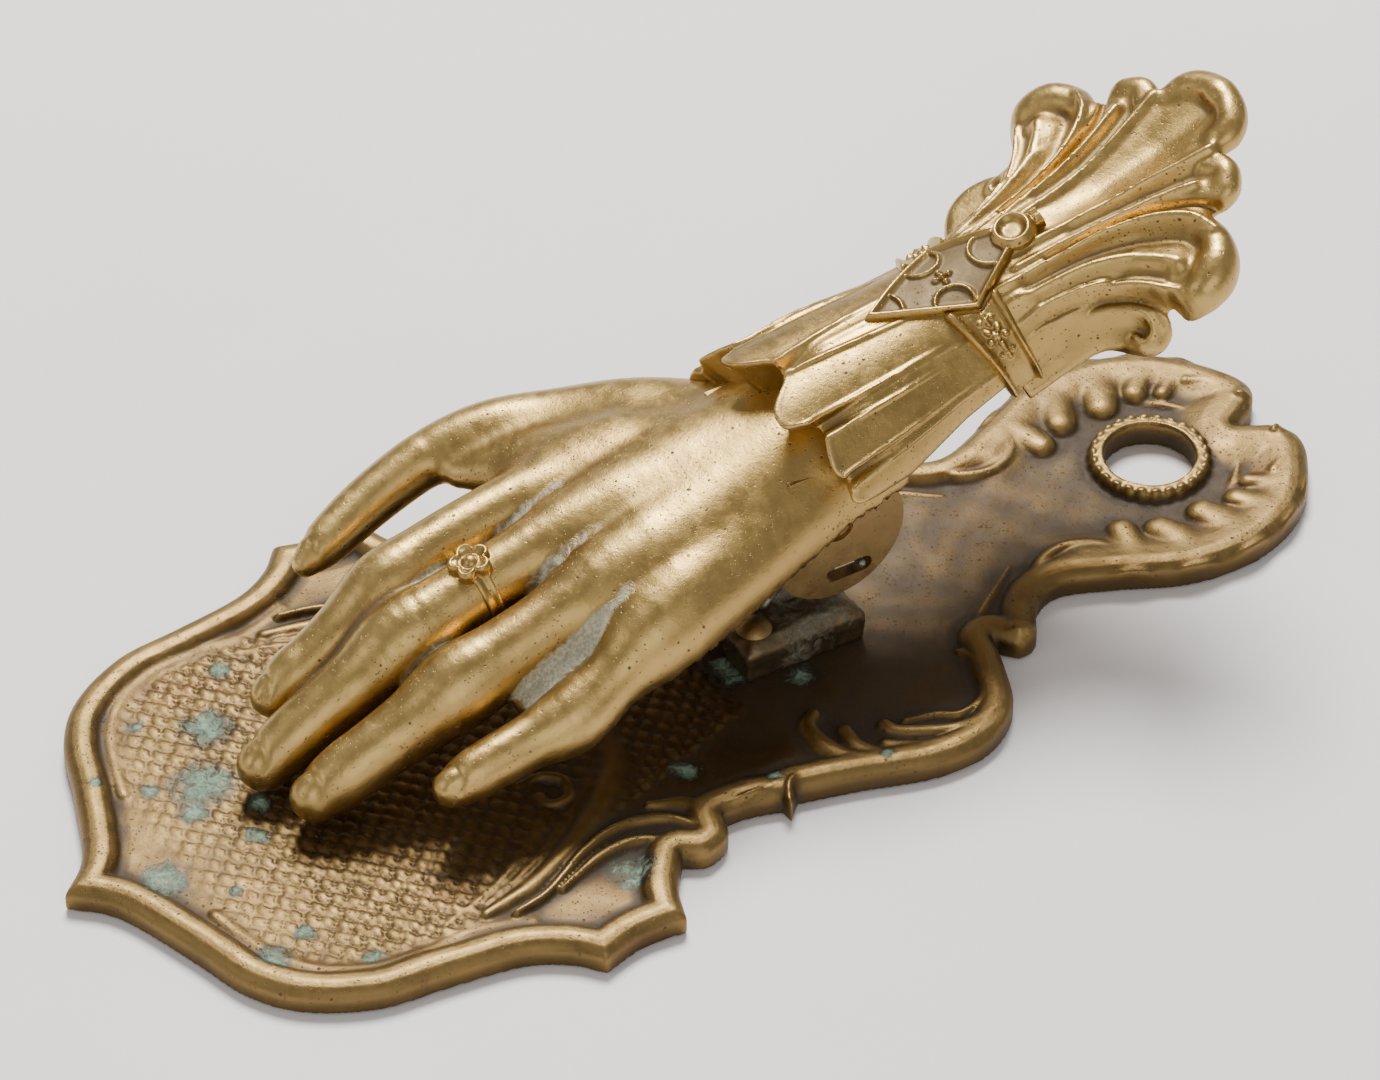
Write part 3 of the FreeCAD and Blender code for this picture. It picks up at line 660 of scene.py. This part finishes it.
def on_arch(points):
    """Unrolled (round, along, out) to plate millimetres."""
    turn, a, out = points[:, 0] / UNROLL, points[:, 1], points[:, 2]
    half, crown, spring = rows_at(ARCH, a)
    x = (half + out) * np.sin(turn)
    h = spring + (crown - spring + out) * np.cos(turn)
    return from_lever(np.stack([x, a, h], axis=1))


def lever_piece(name, field, low, step, shape, replaced, tarnish=None):
    """Skins a field drawn in the lever's unrolled or tilted frame and puts it on the hand's body."""
    flat_points, quads = skin(field, low, step)
    points = shape(flat_points)
    marks = cast_marks(points, quads, 10, 50)
    if tarnish:
        marks["broad"] -= 2.6 * tarnish(flat_points)
        marks["verdigris"] = 0.06 * tarnish(flat_points)
    return piece(name, points, quads, "hand_lever", replaced, marks)


def cuff():
    """The pleated cuff with its scalloped, thick-lipped mouth."""
    (s, a, n), low, step = grid((-1.86 * UNROLL, -8, -5.4), (1.86 * UNROLL, 21.4, 2.4), (0.2, 0.26, 0.26))
    turn = s / UNROLL
    round_by = np.degrees(np.abs(turn))
    radius = np.interp(a, (-3, 20), (12.5, 8.6)) * math.pi / 180
    mouth, = rows_at(spline(MOUTH, 4), round_by)
    in_from_mouth = a - mouth + np.where(turn < 0, rows_at(THUMB_SIDE_MOUTH, round_by)[0], 0)
    fade = np.interp(a, (-3, 6, 12, 16), (1.0, 0.9, 0.55, 0.0))
    along = np.clip(a, 0, 20)
    lines = sum(0.45 * bell((round_by - start - grow * along) * radius, 0.25) for start, grow in PLEAT_LINES)
    lines = lines * np.where(turn < 0, 1 - step_up(round_by, 45, 60), 1)
    fold = np.zeros(lines.shape)
    for middle, half, depth in FOLDS:
        gap = (round_by - middle - 0.5 * along * min(middle, 1)) / half
        fold = fold + 0.15 * bell(gap, 0.5) - depth * np.exp(-(gap / 0.95) ** 4) * (1 - step_up(a, 0.0, 6.0))
    top = 0.3 + fade * lines + fold + 0.3 * bell(np.clip(in_from_mouth, 0, 9), 0.7)
    floor = -CUFF_WALL - 3.2 * (1 - step_up(a, 1.5, 6.0))
    end = np.radians(np.interp(a, (-2, 0, 5, 20), (81, 83, 90, 89)))
    undercut = (0.32 * np.clip(top - n, 0, 6) - in_from_mouth) * 0.9
    field = trim(n - top, (floor - n, 0.9), (undercut, 0.8), ((np.abs(turn) - end) * UNROLL, 0.9),
                (a - CUFF_END, 0.3))
    return lever_piece("cuff_pleats", field, low, step, on_arch, ["cuff"])


def rosette(u, v, r, petals, height):
    """A small flower's height at (u, v) from its middle."""
    spread, turn = np.hypot(u, v) / r, np.arctan2(v, u)
    edge = 0.78 + 0.22 * np.cos(petals * turn)
    leaf = dome(spread / edge, 4) * (0.75 + 0.25 * np.cos(petals * turn)) - 0.6 * bell(spread - 0.38, 0.08)
    return height * np.maximum(leaf, 1.15 * dome(spread / 0.3))


def lace_shape(s, a):
    """How far each unrolled (round, along) lies outside the lace panel's three-cornered outline."""
    half = np.interp(a, (LACE_TIP, LACE_SHOULDER, LACE_TOP + 1), (0, LACE_HALF, 0.9))
    return (np.abs(s) - half) * 0.87


def wrist_strap():
    """The strap round the sleeve's narrow end: two raised edges and a flower each side."""
    (s, a, n), low, step = grid((-1.86 * UNROLL, 16.0, -1.2), (1.86 * UNROLL, 24.2, 2.6), (0.2, 0.16, 0.16))
    turn = s / UNROLL
    low_a, high_a = rows_at(STRAP, np.degrees(np.abs(turn)))
    u = (a - low_a) / (high_a - low_a)
    top = 0.5 + 0.72 * (bell(u - 0.1, 0.09) + bell(u - 0.9, 0.08)) + 0.12 * bell(u - 0.5, 0.2)
    for side in (-1, 1):
        for bud, radius, petals, height in FLOWERS:
            flower = rosette(s - side * FLOWER_TURN * UNROLL - bud, a - FLOWER_ALONG, radius, petals, height)
            top = np.maximum(top, 0.55 + flower)
    field = trim(n - top, (-0.7 - n, 0.25), ((np.abs(u - 0.5) - 0.5) * (high_a - low_a), 0.35),
                ((np.abs(turn) - np.radians(96)) * UNROLL, 0.4), (0.3 - lace_shape(s, a), 0.2))
    return lever_piece("strap_band", field, low, step, on_arch, ["wrist_strap"])


def lace_panel():
    """The lace panel: a raised border, arcs and a rosette on a sunk ground, and a top ring."""
    wide = LACE_HALF * 1.5 + 1
    (s, a, n), low, step = grid((-wide, LACE_TIP - 1.5, -1.8), (wide, LACE_TOP + 3.6, 3.0), (0.13, 0.13, 0.15))
    shape = lace_shape(s, a)
    inward = -shape
    top = 0.45 + 0.75 * bell(inward - 0.42, 0.36)
    ground = 0.4 + 0.05 * np.sin(s * 9) * np.sin(a * 9)
    arcs = np.zeros(np.broadcast(s, a).shape)
    for cs, ca, r in LACE_ARCS:
        arcs = np.maximum(arcs, 0.6 * bell(np.hypot(s - cs, a - ca) - r, 0.24))
    arcs = np.maximum(arcs, rosette(s, a - LACE_SHOULDER + 0.8, 1.3, 4, 0.7))
    top = np.maximum(top, step_up(inward, 0.5, 0.9) * (ground + arcs))
    ring_gap = np.hypot(s, a - LACE_TOP - 0.4)
    ring = 0.7 + 0.75 * bell(ring_gap - 1.7, 0.42)
    top = np.where(ring_gap < 2.4, np.maximum(ring, np.where(inward > 0, 0, ring)), top)
    outline = np.minimum(shape, ring_gap - 2.35)
    field = smooth_max(smooth_max(n - top, outline, 0.3), -1.3 - n, 0.1)
    return lever_piece("lace_cast", field, low, step, on_arch, ["lace_panel"], tarnished_ground)


def tarnished_ground(points):
    """Tarnish between the lace panel's raised lines, on unrolled points."""
    inward = -lace_shape(points[:, 0], points[:, 1])
    return step_up(inward, 0.6, 1.1) * (1 - step_up(points[:, 2], 0.5, 0.8))


# The shell in plan (across, along) on its right side. Its edge runs from the strap to the middle of the tip.
SHELL_EDGE = [(10, 16.5), (10, 21), (10.4, 25.5), (11.4, 28.6), (13.6, 30.4), (15.2, 32.4), (15.3, 34.4),
              (14.6, 35.6), (16.3, 36), (17.6, 37.4), (18, 39.6), (17.3, 41.9), (15.3, 43.9), (12.7, 44.8),
              (10.5, 44.7), (10.6, 46.8), (9.9, 48.7), (8.3, 50), (6.6, 50.1), (5.5, 49.8), (5.7, 51.8),
              (4.6, 53.7), (2.6, 55), (0, 55.4)]
# The left-hand scroll swings out wider: these replace the edge's third to eighth points.
LEFT_SCROLL = [(10.8, 23.4), (13.8, 24.6), (16.2, 26.6), (17.2, 29.4), (16.6, 32.4), (14.8, 35.2)]
# Raised lines: path, height, half width.
SHELL_RIDGES = [
    ([(1.5, 26.5), (2.1, 31), (2.5, 36), (3.4, 41.5), (4.3, 45.4), (5.2, 49.2)], 0.75, 0.5),
    ([(3.4, 26), (3.9, 31), (4.5, 35.5), (5.7, 41), (7.2, 45.4)], 0.65, 0.45),
    ([(3.9, 21), (4.5, 25), (4.9, 30), (5.3, 33.5), (6.3, 37.3), (8, 40.6), (10.2, 43), (12.8, 43.9)],
     0.95, 0.50),
    ([(5.6, 20), (6, 24.2), (6.6, 27.7), (7.5, 31.2), (8.9, 34.2), (10.8, 36.7), (13, 38.6)], 0.85, 0.85),
    ([(7.3, 19), (7.7, 23.8), (7.8, 26.2), (8.6, 29.3), (9.8, 32), (11.9, 34.6), (15, 36.8)], 0.8, 0.45),
    ([(7.9, 19), (8.3, 23.2), (8.7, 25.6), (9.6, 28.6), (10.9, 31), (12.6, 32.9), (13.9, 33.3), (14.5, 32.5),
      (14.2, 31.5), (13.4, 31.4)], 0.85, 0.42),
]
# Hollows between them, in the same way.
SHELL_HOLLOWS = [
    ([(0, 34), (0, 44), (0, 52)], 1.15, 2.6),
    ([(3.2, 33), (3.9, 39), (5.3, 44), (6.6, 47.6)], 0.75, 0.8),
    ([(4.3, 29), (5, 35), (6.4, 40), (8.2, 43.6), (10.2, 45.6)], 1.05, 0.34),
    ([(5.4, 26), (6.1, 32), (7.8, 37), (10.4, 40.6), (12.4, 41.6)], 1.1, 1),
    ([(7.2, 26), (8.2, 31), (9.9, 34.6), (12.6, 37.2)], 0.6, 0.55),
    ([(8, 22), (8.2, 26), (9.2, 30), (11, 32.9), (13.4, 34.8), (15.4, 35.6)], 1.1, 0.3),
    ([(12.6, 31.9), (13.4, 32.3)], 0.55, 0.45),
]
# Rolled lips at the tips: path of (across, along, above the surface, radius).
SHELL_ROLLS = [
    [(4.2, 50, -1.1, 1.1), (3.5, 52.4, -1, 1.45), (1.6, 53.6, -0.9, 1.5), (0, 53.8, -0.9, 1.5)],
    [(6, 47.6, -1, 1), (7.6, 48.6, -0.8, 1.15), (9.2, 47.6, -0.9, 1.2)],
    [(11, 43.2, -1.1, 1.2), (13.2, 43, -1, 1.7), (15.2, 41.6, -0.8, 2.2), (15.9, 39.4, -1, 2.1),
     (15.2, 37.8, -1.4, 1.5)],
    [(12.9, 31.4, -1.1, 0.9), (14, 32.2, -1, 1.1), (13.9, 33.4, -1.1, 0.9)],
]
SHELL_THICK = 2.1
ARCH_ENDS = (20, 40)      # where the sleeve's arch begins and ends its opening out into the shell


def shell_height(x, a):
    """The shell's smooth upper surface: an arch at the strap that opens out flat towards the tips."""
    half, crown, spring = rows_at(ARCH, a)
    across = np.clip(1 - (x / half) ** 2, 0, 1)
    arch = spring + (crown - spring) * np.sqrt(across) - 1.6 * np.clip(np.abs(x) - half, 0, 30)
    middle = np.interp(a, (18, 30, 38, 46, 52, 57), (6.4, 4.7, 3.9, 3.9, 4.3, 4.6))
    flat = middle - 0.011 * x ** 2
    open_share = step_up(a, *ARCH_ENDS)
    shoulder = np.interp(a, (18, 26, 29, 32, 34.4, 37), (7.4, 7.8, 8.7, 9.8, 11.9, 15.0))
    scroll_drop = 0.6 * np.clip(np.abs(x) - shoulder, 0, 30) * (1 - step_up(a, 34, 38))
    return smooth_max(arch * (1 - open_share) + flat * open_share - scroll_drop, -3.4, 1.5)


def shell_plan(x, a):
    """How far each place lies outside the shell's edge in plan."""
    left = SHELL_EDGE[:2] + LEFT_SCROLL + SHELL_EDGE[8:-1]
    outline = SHELL_EDGE + [(-lx, la) for lx, la in left[::-1]]
    path = spline(outline, 6)
    gap, _ = near_path(x, a, path)
    return np.where(inside_of(path, x, a), -gap, gap)


def thumb_shell():
    """The shell: ridges and hollows that fan out from the strap, with rolled lips at its tips."""
    p, low, step = grid((-19.5, 17.5, -7.5), (19.5, 58, 9.0), (0.24, 0.26, 0.26))
    x, a, h = p
    px, pa = x[:, :, 0], a[:, :, 0]
    base = shell_height(px, pa)
    raised = np.zeros(base.shape)
    for marks, sign in ((SHELL_RIDGES, 1), (SHELL_HOLLOWS, -1)):
        for path, rise, width in marks:
            gap, share = near_path(np.abs(px), pa, spline(path, 6))
            grown = 0.55 + 0.45 * np.clip(share * 1.6, 0, 1)
            raised = raised + sign * rise * grown * bell(gap, width * (0.8 + 0.4 * share))
    raised = raised * step_up(pa, 20.5, 24.5)
    top = base + raised
    floor = base - SHELL_THICK - 0.5 * step_up(pa, 30, 52)
    field = trim(h - top[:, :, None], (floor[:, :, None] - h, 1.0), (shell_plan(px, pa)[:, :, None], 1.5))
    for roll in SHELL_ROLLS:
        for side in (-1, 1):
            path = [(side * rx, ra, shell_height(np.array(rx), np.array(ra)) + rh, r) for rx, ra, rh, r in roll]
            field = smooth_min(field, limb(p, spline(path, 4)), 0.8)
    field = smooth_max(field, SHELL_START - a, 0.3)
    return lever_piece("shell_fan", field, low, step, from_lever, ["thumb_shell"])


# ---- bracket, pin, ears and spring ----
RIVET_R, RIVET_X, RIVET_Y = 1.4, 5.2, 75.9
COIL_R, WIRE_R, COIL_TURNS, COIL_PITCH, COIL_X = 2.6, 0.45, 2.5, 0.95, 3.6
PIN_Y, PIN_Z = 84.0, 18.6
FOOT_TOP = 6.4


def soften(node, width):
    """Rounds a CAD node's hard edges."""
    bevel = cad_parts[node].modifiers.new("soft_edges", "BEVEL")
    bevel.width = width * MM
    bevel.segments = 2
    bevel.limit_method = "ANGLE"
    bevel.angle_limit = math.radians(35)
    bevel.harden_normals = False


def roughen(node, cell, height):
    """Gives a CAD node the uneven skin of a sand casting."""
    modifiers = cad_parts[node].modifiers
    remesh = modifiers.new("cast_skin", "REMESH")
    remesh.mode = "VOXEL"
    remesh.voxel_size = cell * MM
    remesh.use_smooth_shade = True
    clouds = bpy.data.textures.new("cast_lumps", "CLOUDS")
    clouds.noise_scale = 2.6 * MM
    lumps = modifiers.new("cast_lumps", "DISPLACE")
    lumps.texture = clouds
    lumps.strength = height * MM
    lumps.mid_level = 0.6


def wire_mesh(path, radius, sides=12):
    """A round wire swept along a smooth path, with rounded ends: points and quads."""
    way = np.gradient(path, axis=0)
    way /= np.linalg.norm(way, axis=1)[:, None]
    up = np.cross(way[0], [0.3, 0.2, 0.9])
    up /= np.linalg.norm(up)
    points = []
    for i, (centre, ahead) in enumerate(zip(path, way)):
        up = up - ahead * up.dot(ahead)
        up /= np.linalg.norm(up)
        other = np.cross(ahead, up)
        thin = 0.05 if i in (0, len(path) - 1) else (0.75 if i in (1, len(path) - 2) else 1.0)
        for turn in np.linspace(0, 2 * np.pi, sides, endpoint=False):
            points.append(centre + radius * thin * (math.cos(turn) * up + math.sin(turn) * other))
    quads = [[near + side, near + (side + 1) % sides, near + sides + (side + 1) % sides, near + sides + side]
             for near in range(0, (len(path) - 1) * sides, sides) for side in range(sides)]
    return np.array(points), np.array(quads)


def torsion_spring():
    """The spring: one leg on the foot, the coil round the pin, and a hook in the lever's ear."""
    steps = np.linspace(0, 1, 60)
    turn = 2 * np.pi * COIL_TURNS * steps
    coil = np.stack([COIL_X + COIL_TURNS * COIL_PITCH * steps, PIN_Y - COIL_R * np.sin(turn),
                     PIN_Z - COIL_R * np.cos(turn)], axis=1)
    lower = spline([(COIL_X + 0.15, PIN_Y - 6.5, FOOT_TOP + 0.5), (COIL_X + 0.12, PIN_Y - 4.2, FOOT_TOP + 3.4),
                    (COIL_X + 0.05, PIN_Y - 0.9, PIN_Z - COIL_R - 0.6), tuple(coil[1])], 8)
    upper = spline([tuple(coil[-2]), (6.0, PIN_Y + 2.4, PIN_Z + 1.7), (6.05, PIN_Y + 3.2, PIN_Z - 1.4),
                    (6.05, PIN_Y + 2.9, PIN_Z - 5.0), (6.3, PIN_Y + 2.8, PIN_Z - 6.0),
                    (7.4, PIN_Y + 2.8, PIN_Z - 6.0), (8.6, PIN_Y + 2.8, PIN_Z - 6.0)], 6)
    points, quads = wire_mesh(np.vstack([lower[:-1], coil[1:-2], upper]), WIRE_R)
    return piece("spring_wire", points, quads, None, ["torsion_spring"])


# ---- materials ----
class Nodes:
    """A short way to write a material's nodes: each call makes one node and wires or sets its inputs."""

    def __init__(self, name):
        self.material = bpy.data.materials.new(name)
        self.material.use_nodes = True
        self.tree = self.material.node_tree
        self.tree.nodes.clear()

    def add(self, kind, inputs=None, **settings):
        made = self.tree.nodes.new(kind)
        for key, value in settings.items():
            setattr(made, key, value)
        for key, value in (inputs or {}).items():
            if isinstance(value, bpy.types.NodeSocket):
                self.tree.links.new(value, made.inputs[key])
            else:
                made.inputs[key].default_value = value
        return made

    def math(self, operation, a, b, clamp=False):
        return self.add("ShaderNodeMath", {0: a, 1: b}, operation=operation, use_clamp=clamp).outputs[0]

    def plus(self, a, b, clamp=False):
        return self.math("ADD", a, b, clamp)

    def minus(self, a, b, clamp=False):
        return self.math("SUBTRACT", a, b, clamp)

    def times(self, a, b):
        return self.math("MULTIPLY", a, b)

    def larger(self, a, b):
        return self.math("MAXIMUM", a, b)

    def band(self, value, low, high, to_low=0.0, to_high=1.0):
        """value from low..high to to_low..to_high, smoothly and clamped."""
        inputs = {"Value": value, "From Min": low, "From Max": high, "To Min": to_low, "To Max": to_high}
        return self.add("ShaderNodeMapRange", inputs, interpolation_type="SMOOTHSTEP").outputs["Result"]

    def mix(self, share, a, b):
        """From colour a to colour b. The mix node keeps its colours in sockets 6 and 7."""
        return self.add("ShaderNodeMix", {0: share, 6: a, 7: b}, data_type="RGBA").outputs[2]

    def noise(self, where, scale, detail=3.0, rough=0.55, warp=0.0):
        inputs = {"Vector": where, "Scale": scale, "Detail": detail, "Roughness": rough, "Distortion": warp}
        return self.add("ShaderNodeTexNoise", inputs).outputs["Fac"]

    def mark(self, name):
        return self.add("ShaderNodeAttribute", attribute_name=name).outputs["Fac"]

    def surface(self, colour, roughness, metallic=0.0, height=0.0, strength=0.9):
        """The finished material, bumped by a height in millimetres."""
        bump = self.add("ShaderNodeBump", {"Height": height, "Strength": strength, "Distance": MM})
        shader = self.add("ShaderNodeBsdfPrincipled", {"Base Color": colour, "Metallic": metallic,
                                                       "Roughness": roughness, "Normal": bump.outputs["Normal"]})
        self.add("ShaderNodeOutputMaterial", {"Surface": shader.outputs[0]})
        return self.material


def rgb(r, g, b):
    return (r, g, b, 1.0)


def millimetres(nodes):
    """The piece's own coordinates in millimetres."""
    here = nodes.add("ShaderNodeTexCoord").outputs["Object"]
    return nodes.add("ShaderNodeVectorMath", {0: here, 1: (1000, 1000, 1000)}, operation="MULTIPLY").outputs[0]


def brass(name, dull, middle, bright, rough, grime_and_shade_depth, pits=0.5, grain=0.5, blotch=1.0, halo_dark=0.75, patina=0.0,
          chalk_pale=(0.25, 0.35, 0.27)):
    """Old cast brass: dirt in the hollows, rubbed edges, dark pits, pinkish bloom and verdigris, plus any painted
    shade that a piece's broad mark carries.

    grime_and_shade_depth is how far the hollows and that painted shade go dark, patina a film of verdigris
    everywhere, halo_dark its surround.
    """
    n = Nodes(name)
    where = millimetres(n)
    broad_stain = n.noise(where, 0.09, 4.0, 0.6, 0.4)
    mottle = n.noise(where, 0.55, 5.0, 0.62, 0.3)
    speck = n.noise(where, 2.6, 4.0, 0.65)
    lift = n.plus(n.times(n.mark("proud"), 2.4), n.times(n.mark("broad"), 0.45))
    lift = n.plus(lift, n.times(n.minus(mottle, 0.5), 0.55 * blotch))
    lift = n.plus(lift, n.times(n.minus(broad_stain, 0.5), 0.9 * blotch))
    # Dirt in the hollows and, on the plate, the painted shade under the hand and shell that the broad mark brings
    # in.
    grime_and_painted_shade = n.band(n.minus(0.0, lift), 0.05, 0.75, 0.0, grime_and_shade_depth)
    colour = n.mix(n.band(lift, -0.25, 0.75), middle, bright)
    bloom = n.band(n.noise(where, 0.16, 5.0, 0.6, 0.8), 0.52, 0.72, 0.0, 0.5 * blotch)
    colour = n.mix(bloom, colour, rgb(middle[0] * 1.12, middle[1] * 0.92, middle[2] * 1.02))
    colour = n.mix(grime_and_painted_shade, colour, dull)
    few = n.band(n.noise(where, 0.22, 3.0), 0.38, 0.58)
    spots = 0.0
    for pitch, low, share in ((0.75, 0.18, 1.0), (1.7, 0.22, 0.75)):
        cells = n.add("ShaderNodeTexVoronoi", {"Vector": where, "Scale": pitch, "Randomness": 1.0})
        edge = n.plus(cells.outputs["Distance"], n.times(speck, 0.25))
        spots = n.larger(spots, n.times(n.band(edge, low, low + 0.09, share, 0.0), few))
    fleck = n.times(n.band(speck, 0.60, 0.70), n.band(mottle, 0.50, 0.60))
    spots = n.times(n.larger(spots, n.times(fleck, 0.6)), pits)
    colour = n.mix(spots, colour, rgb(0.075, 0.052, 0.036))
    verdigris = n.larger(n.mark("verdigris"), n.times(n.band(broad_stain, 0.35, 0.6), patina))
    ragged = n.times(n.minus(n.noise(where, 0.5, 6.0, 0.72, 0.9), 0.5), 2.2)
    green_at = n.plus(verdigris, ragged)
    present = n.band(verdigris, 0.02, 0.3)
    halo = n.times(n.band(green_at, -0.1, 0.45), present)
    green = n.times(n.band(green_at, 0.3, 1.05, 0.0, 0.9), present)
    chalk = n.mix(n.band(speck, 0.36, 0.66), rgb(*[0.6 * c for c in chalk_pale]), rgb(*chalk_pale))
    colour = n.mix(n.times(halo, halo_dark), colour, rgb(0.06, 0.052, 0.04))
    colour = n.mix(green, colour, chalk)
    matt = n.larger(green, n.times(n.larger(grime_and_painted_shade, spots), 0.75))
    shine = n.minus(1.0, n.times(matt, 0.85), clamp=True)
    roughness = n.plus(n.band(mottle, 0.3, 0.7, rough - 0.05, rough + 0.08), n.times(matt, 0.35), clamp=True)
    hills = n.plus(n.times(speck, 0.03 * grain), n.times(mottle, 0.06 * grain))
    hills = n.plus(hills, n.times(n.noise(where, 9.0, 2.0), 0.010 * grain))
    hills = n.plus(n.minus(hills, n.times(spots, 0.06)), n.times(green, 0.08))
    return n.surface(colour, roughness, shine, hills)


def spring_steel():
    """Drawn spring wire gone dull, with rust freckles and fine marks along it."""
    n = Nodes("spring_steel_dull")
    where = millimetres(n)
    mottle = n.noise(where, 1.2, 5.0, 0.65, 0.4)
    fine = n.noise(where, 7.0, 3.0)
    rust = n.band(mottle, 0.52, 0.68)
    colour = n.mix(rust, rgb(0.30, 0.27, 0.23), rgb(0.13, 0.065, 0.035))
    colour = n.mix(n.band(fine, 0.55, 0.75, 0.0, 0.5), colour, rgb(0.42, 0.39, 0.34))
    return n.surface(colour, n.band(mottle, 0.3, 0.7, 0.34, 0.7), n.minus(1.0, n.times(rust, 0.8)),
                     n.times(fine, 0.03), strength=0.8)


def wear(obj, material):
    """Gives a piece or CAD node one material."""
    if not obj.data.materials:
        obj.data.materials.append(material)
    for slot in obj.material_slots:
        slot.material = material


# ---- floor, light and camera ----
CAMERA_AT = (0.4417, -0.2604, 0.4767)
CAMERA_WAY = (-0.6410, 0.3775, -0.6680)
LENS = 178.2
FLOOR_REACH, FLOOR_Z = 3.0, -0.0002
# Each lamp's name, place, size, power and tint. All face the clip.
LAMPS = [("window", (-0.47, 0.24, 0.85), 0.42, 17.5, (1, 0.98, 0.95)),
         ("side", (0.85, -0.25, 0.45), 0.8, 2.4, (1, 0.98, 0.96)),
         ("front", (-0.1, -0.9, 0.5), 0.6, 1.2, (1, 0.98, 0.96))]


def studio():
    """A plain pale floor, soft lights and the camera."""
    n = Nodes("pale_floor")
    where = n.add("ShaderNodeTexCoord").outputs["Object"]
    cloud = n.noise(where, 9.0, 4.0, 0.55)
    colour = n.mix(n.band(cloud, 0.35, 0.7), rgb(0.87, 0.835, 0.83), rgb(0.91, 0.88, 0.875))
    floor_mesh = bpy.data.meshes.new("floor")
    corners = [(FLOOR_REACH * i, FLOOR_REACH * j, 0) for i, j in ((-1, -1), (1, -1), (1, 1), (-1, 1))]
    floor_mesh.from_pydata(corners, [], [(0, 1, 2, 3)])
    floor = stand("floor", floor_mesh)
    floor.location.z = FLOOR_Z
    wear(floor, n.surface(colour, 0.55))

    world = bpy.data.worlds.new("soft_room")
    world.use_nodes = True
    sky = world.node_tree.nodes["Background"].inputs
    sky["Color"].default_value = rgb(0.90, 0.89, 0.90)
    sky["Strength"].default_value = 0.40
    bpy.context.scene.world = world
    for name, place_at, size, power, tint in LAMPS:
        lamp = bpy.data.lights.new(name, "AREA")
        lamp.shape = "DISK"
        lamp.size = size
        lamp.energy = power
        lamp.color = tint
        light = stand(name, lamp)
        light.location = place_at
        light.rotation_euler = (-Vector(place_at)).to_track_quat("-Z", "Y").to_euler()

    camera = stand("camera", bpy.data.cameras.new("camera"))
    camera.data.lens = LENS
    camera.data.sensor_width = 36
    camera.data.clip_start = 0.01
    camera.data.clip_end = 20
    camera.location = CAMERA_AT
    camera.rotation_euler = Vector(CAMERA_WAY).to_track_quat("-Z", "Y").to_euler()
    bpy.context.scene.camera = camera


# ---- the scene ----
PLATE_BRASS = brass("plate_brass_aged", rgb(0.055, 0.039, 0.024), rgb(0.128, 0.083, 0.035),
                    rgb(0.255, 0.168, 0.061), 0.44, 0.95, 0.9, 1.0, blotch=0.9, halo_dark=0.85,
                    chalk_pale=(0.33, 0.50, 0.37))
HAND_BRASS = brass("hand_brass_rubbed", rgb(0.105, 0.073, 0.037), rgb(0.42, 0.278, 0.090), rgb(0.54, 0.37, 0.130),
                   0.34, 0.8, 1.0, 0.9, blotch=0.45, halo_dark=0.2, chalk_pale=(0.62, 0.58, 0.42))
DULL_BRASS = brass("ear_brass_dull", rgb(0.09, 0.065, 0.04), rgb(0.30, 0.20, 0.085), rgb(0.45, 0.31, 0.12),
                   0.45, 0.8, 0.8, 1.0)
FOOT_BRASS = brass("bracket_brass_dull", rgb(0.08, 0.062, 0.042), rgb(0.20, 0.145, 0.08), rgb(0.36, 0.26, 0.12),
                   0.5, 0.8, 0.8, 1.2, patina=0.6, halo_dark=0.4, chalk_pale=(0.30, 0.31, 0.23))

wear(back_plate(), PLATE_BRASS)
for made in (hand(), finger_ring(), cuff(), wrist_strap(), lace_panel(), thumb_shell()):
    wear(made, HAND_BRASS)
spring = torsion_spring()
wear(spring, spring_steel())
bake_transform(spring)
for node, width, material in (("pivot_bracket", 0.6, FOOT_BRASS), ("hinge_ears", 0.35, DULL_BRASS),
                              ("hinge_pin", 0.25, DULL_BRASS), ("bracket_rivets", 0.2, DULL_BRASS)):
    soften(node, width)
    wear(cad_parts[node], material)
roughen("pivot_bracket", 0.35, 0.55)
studio()
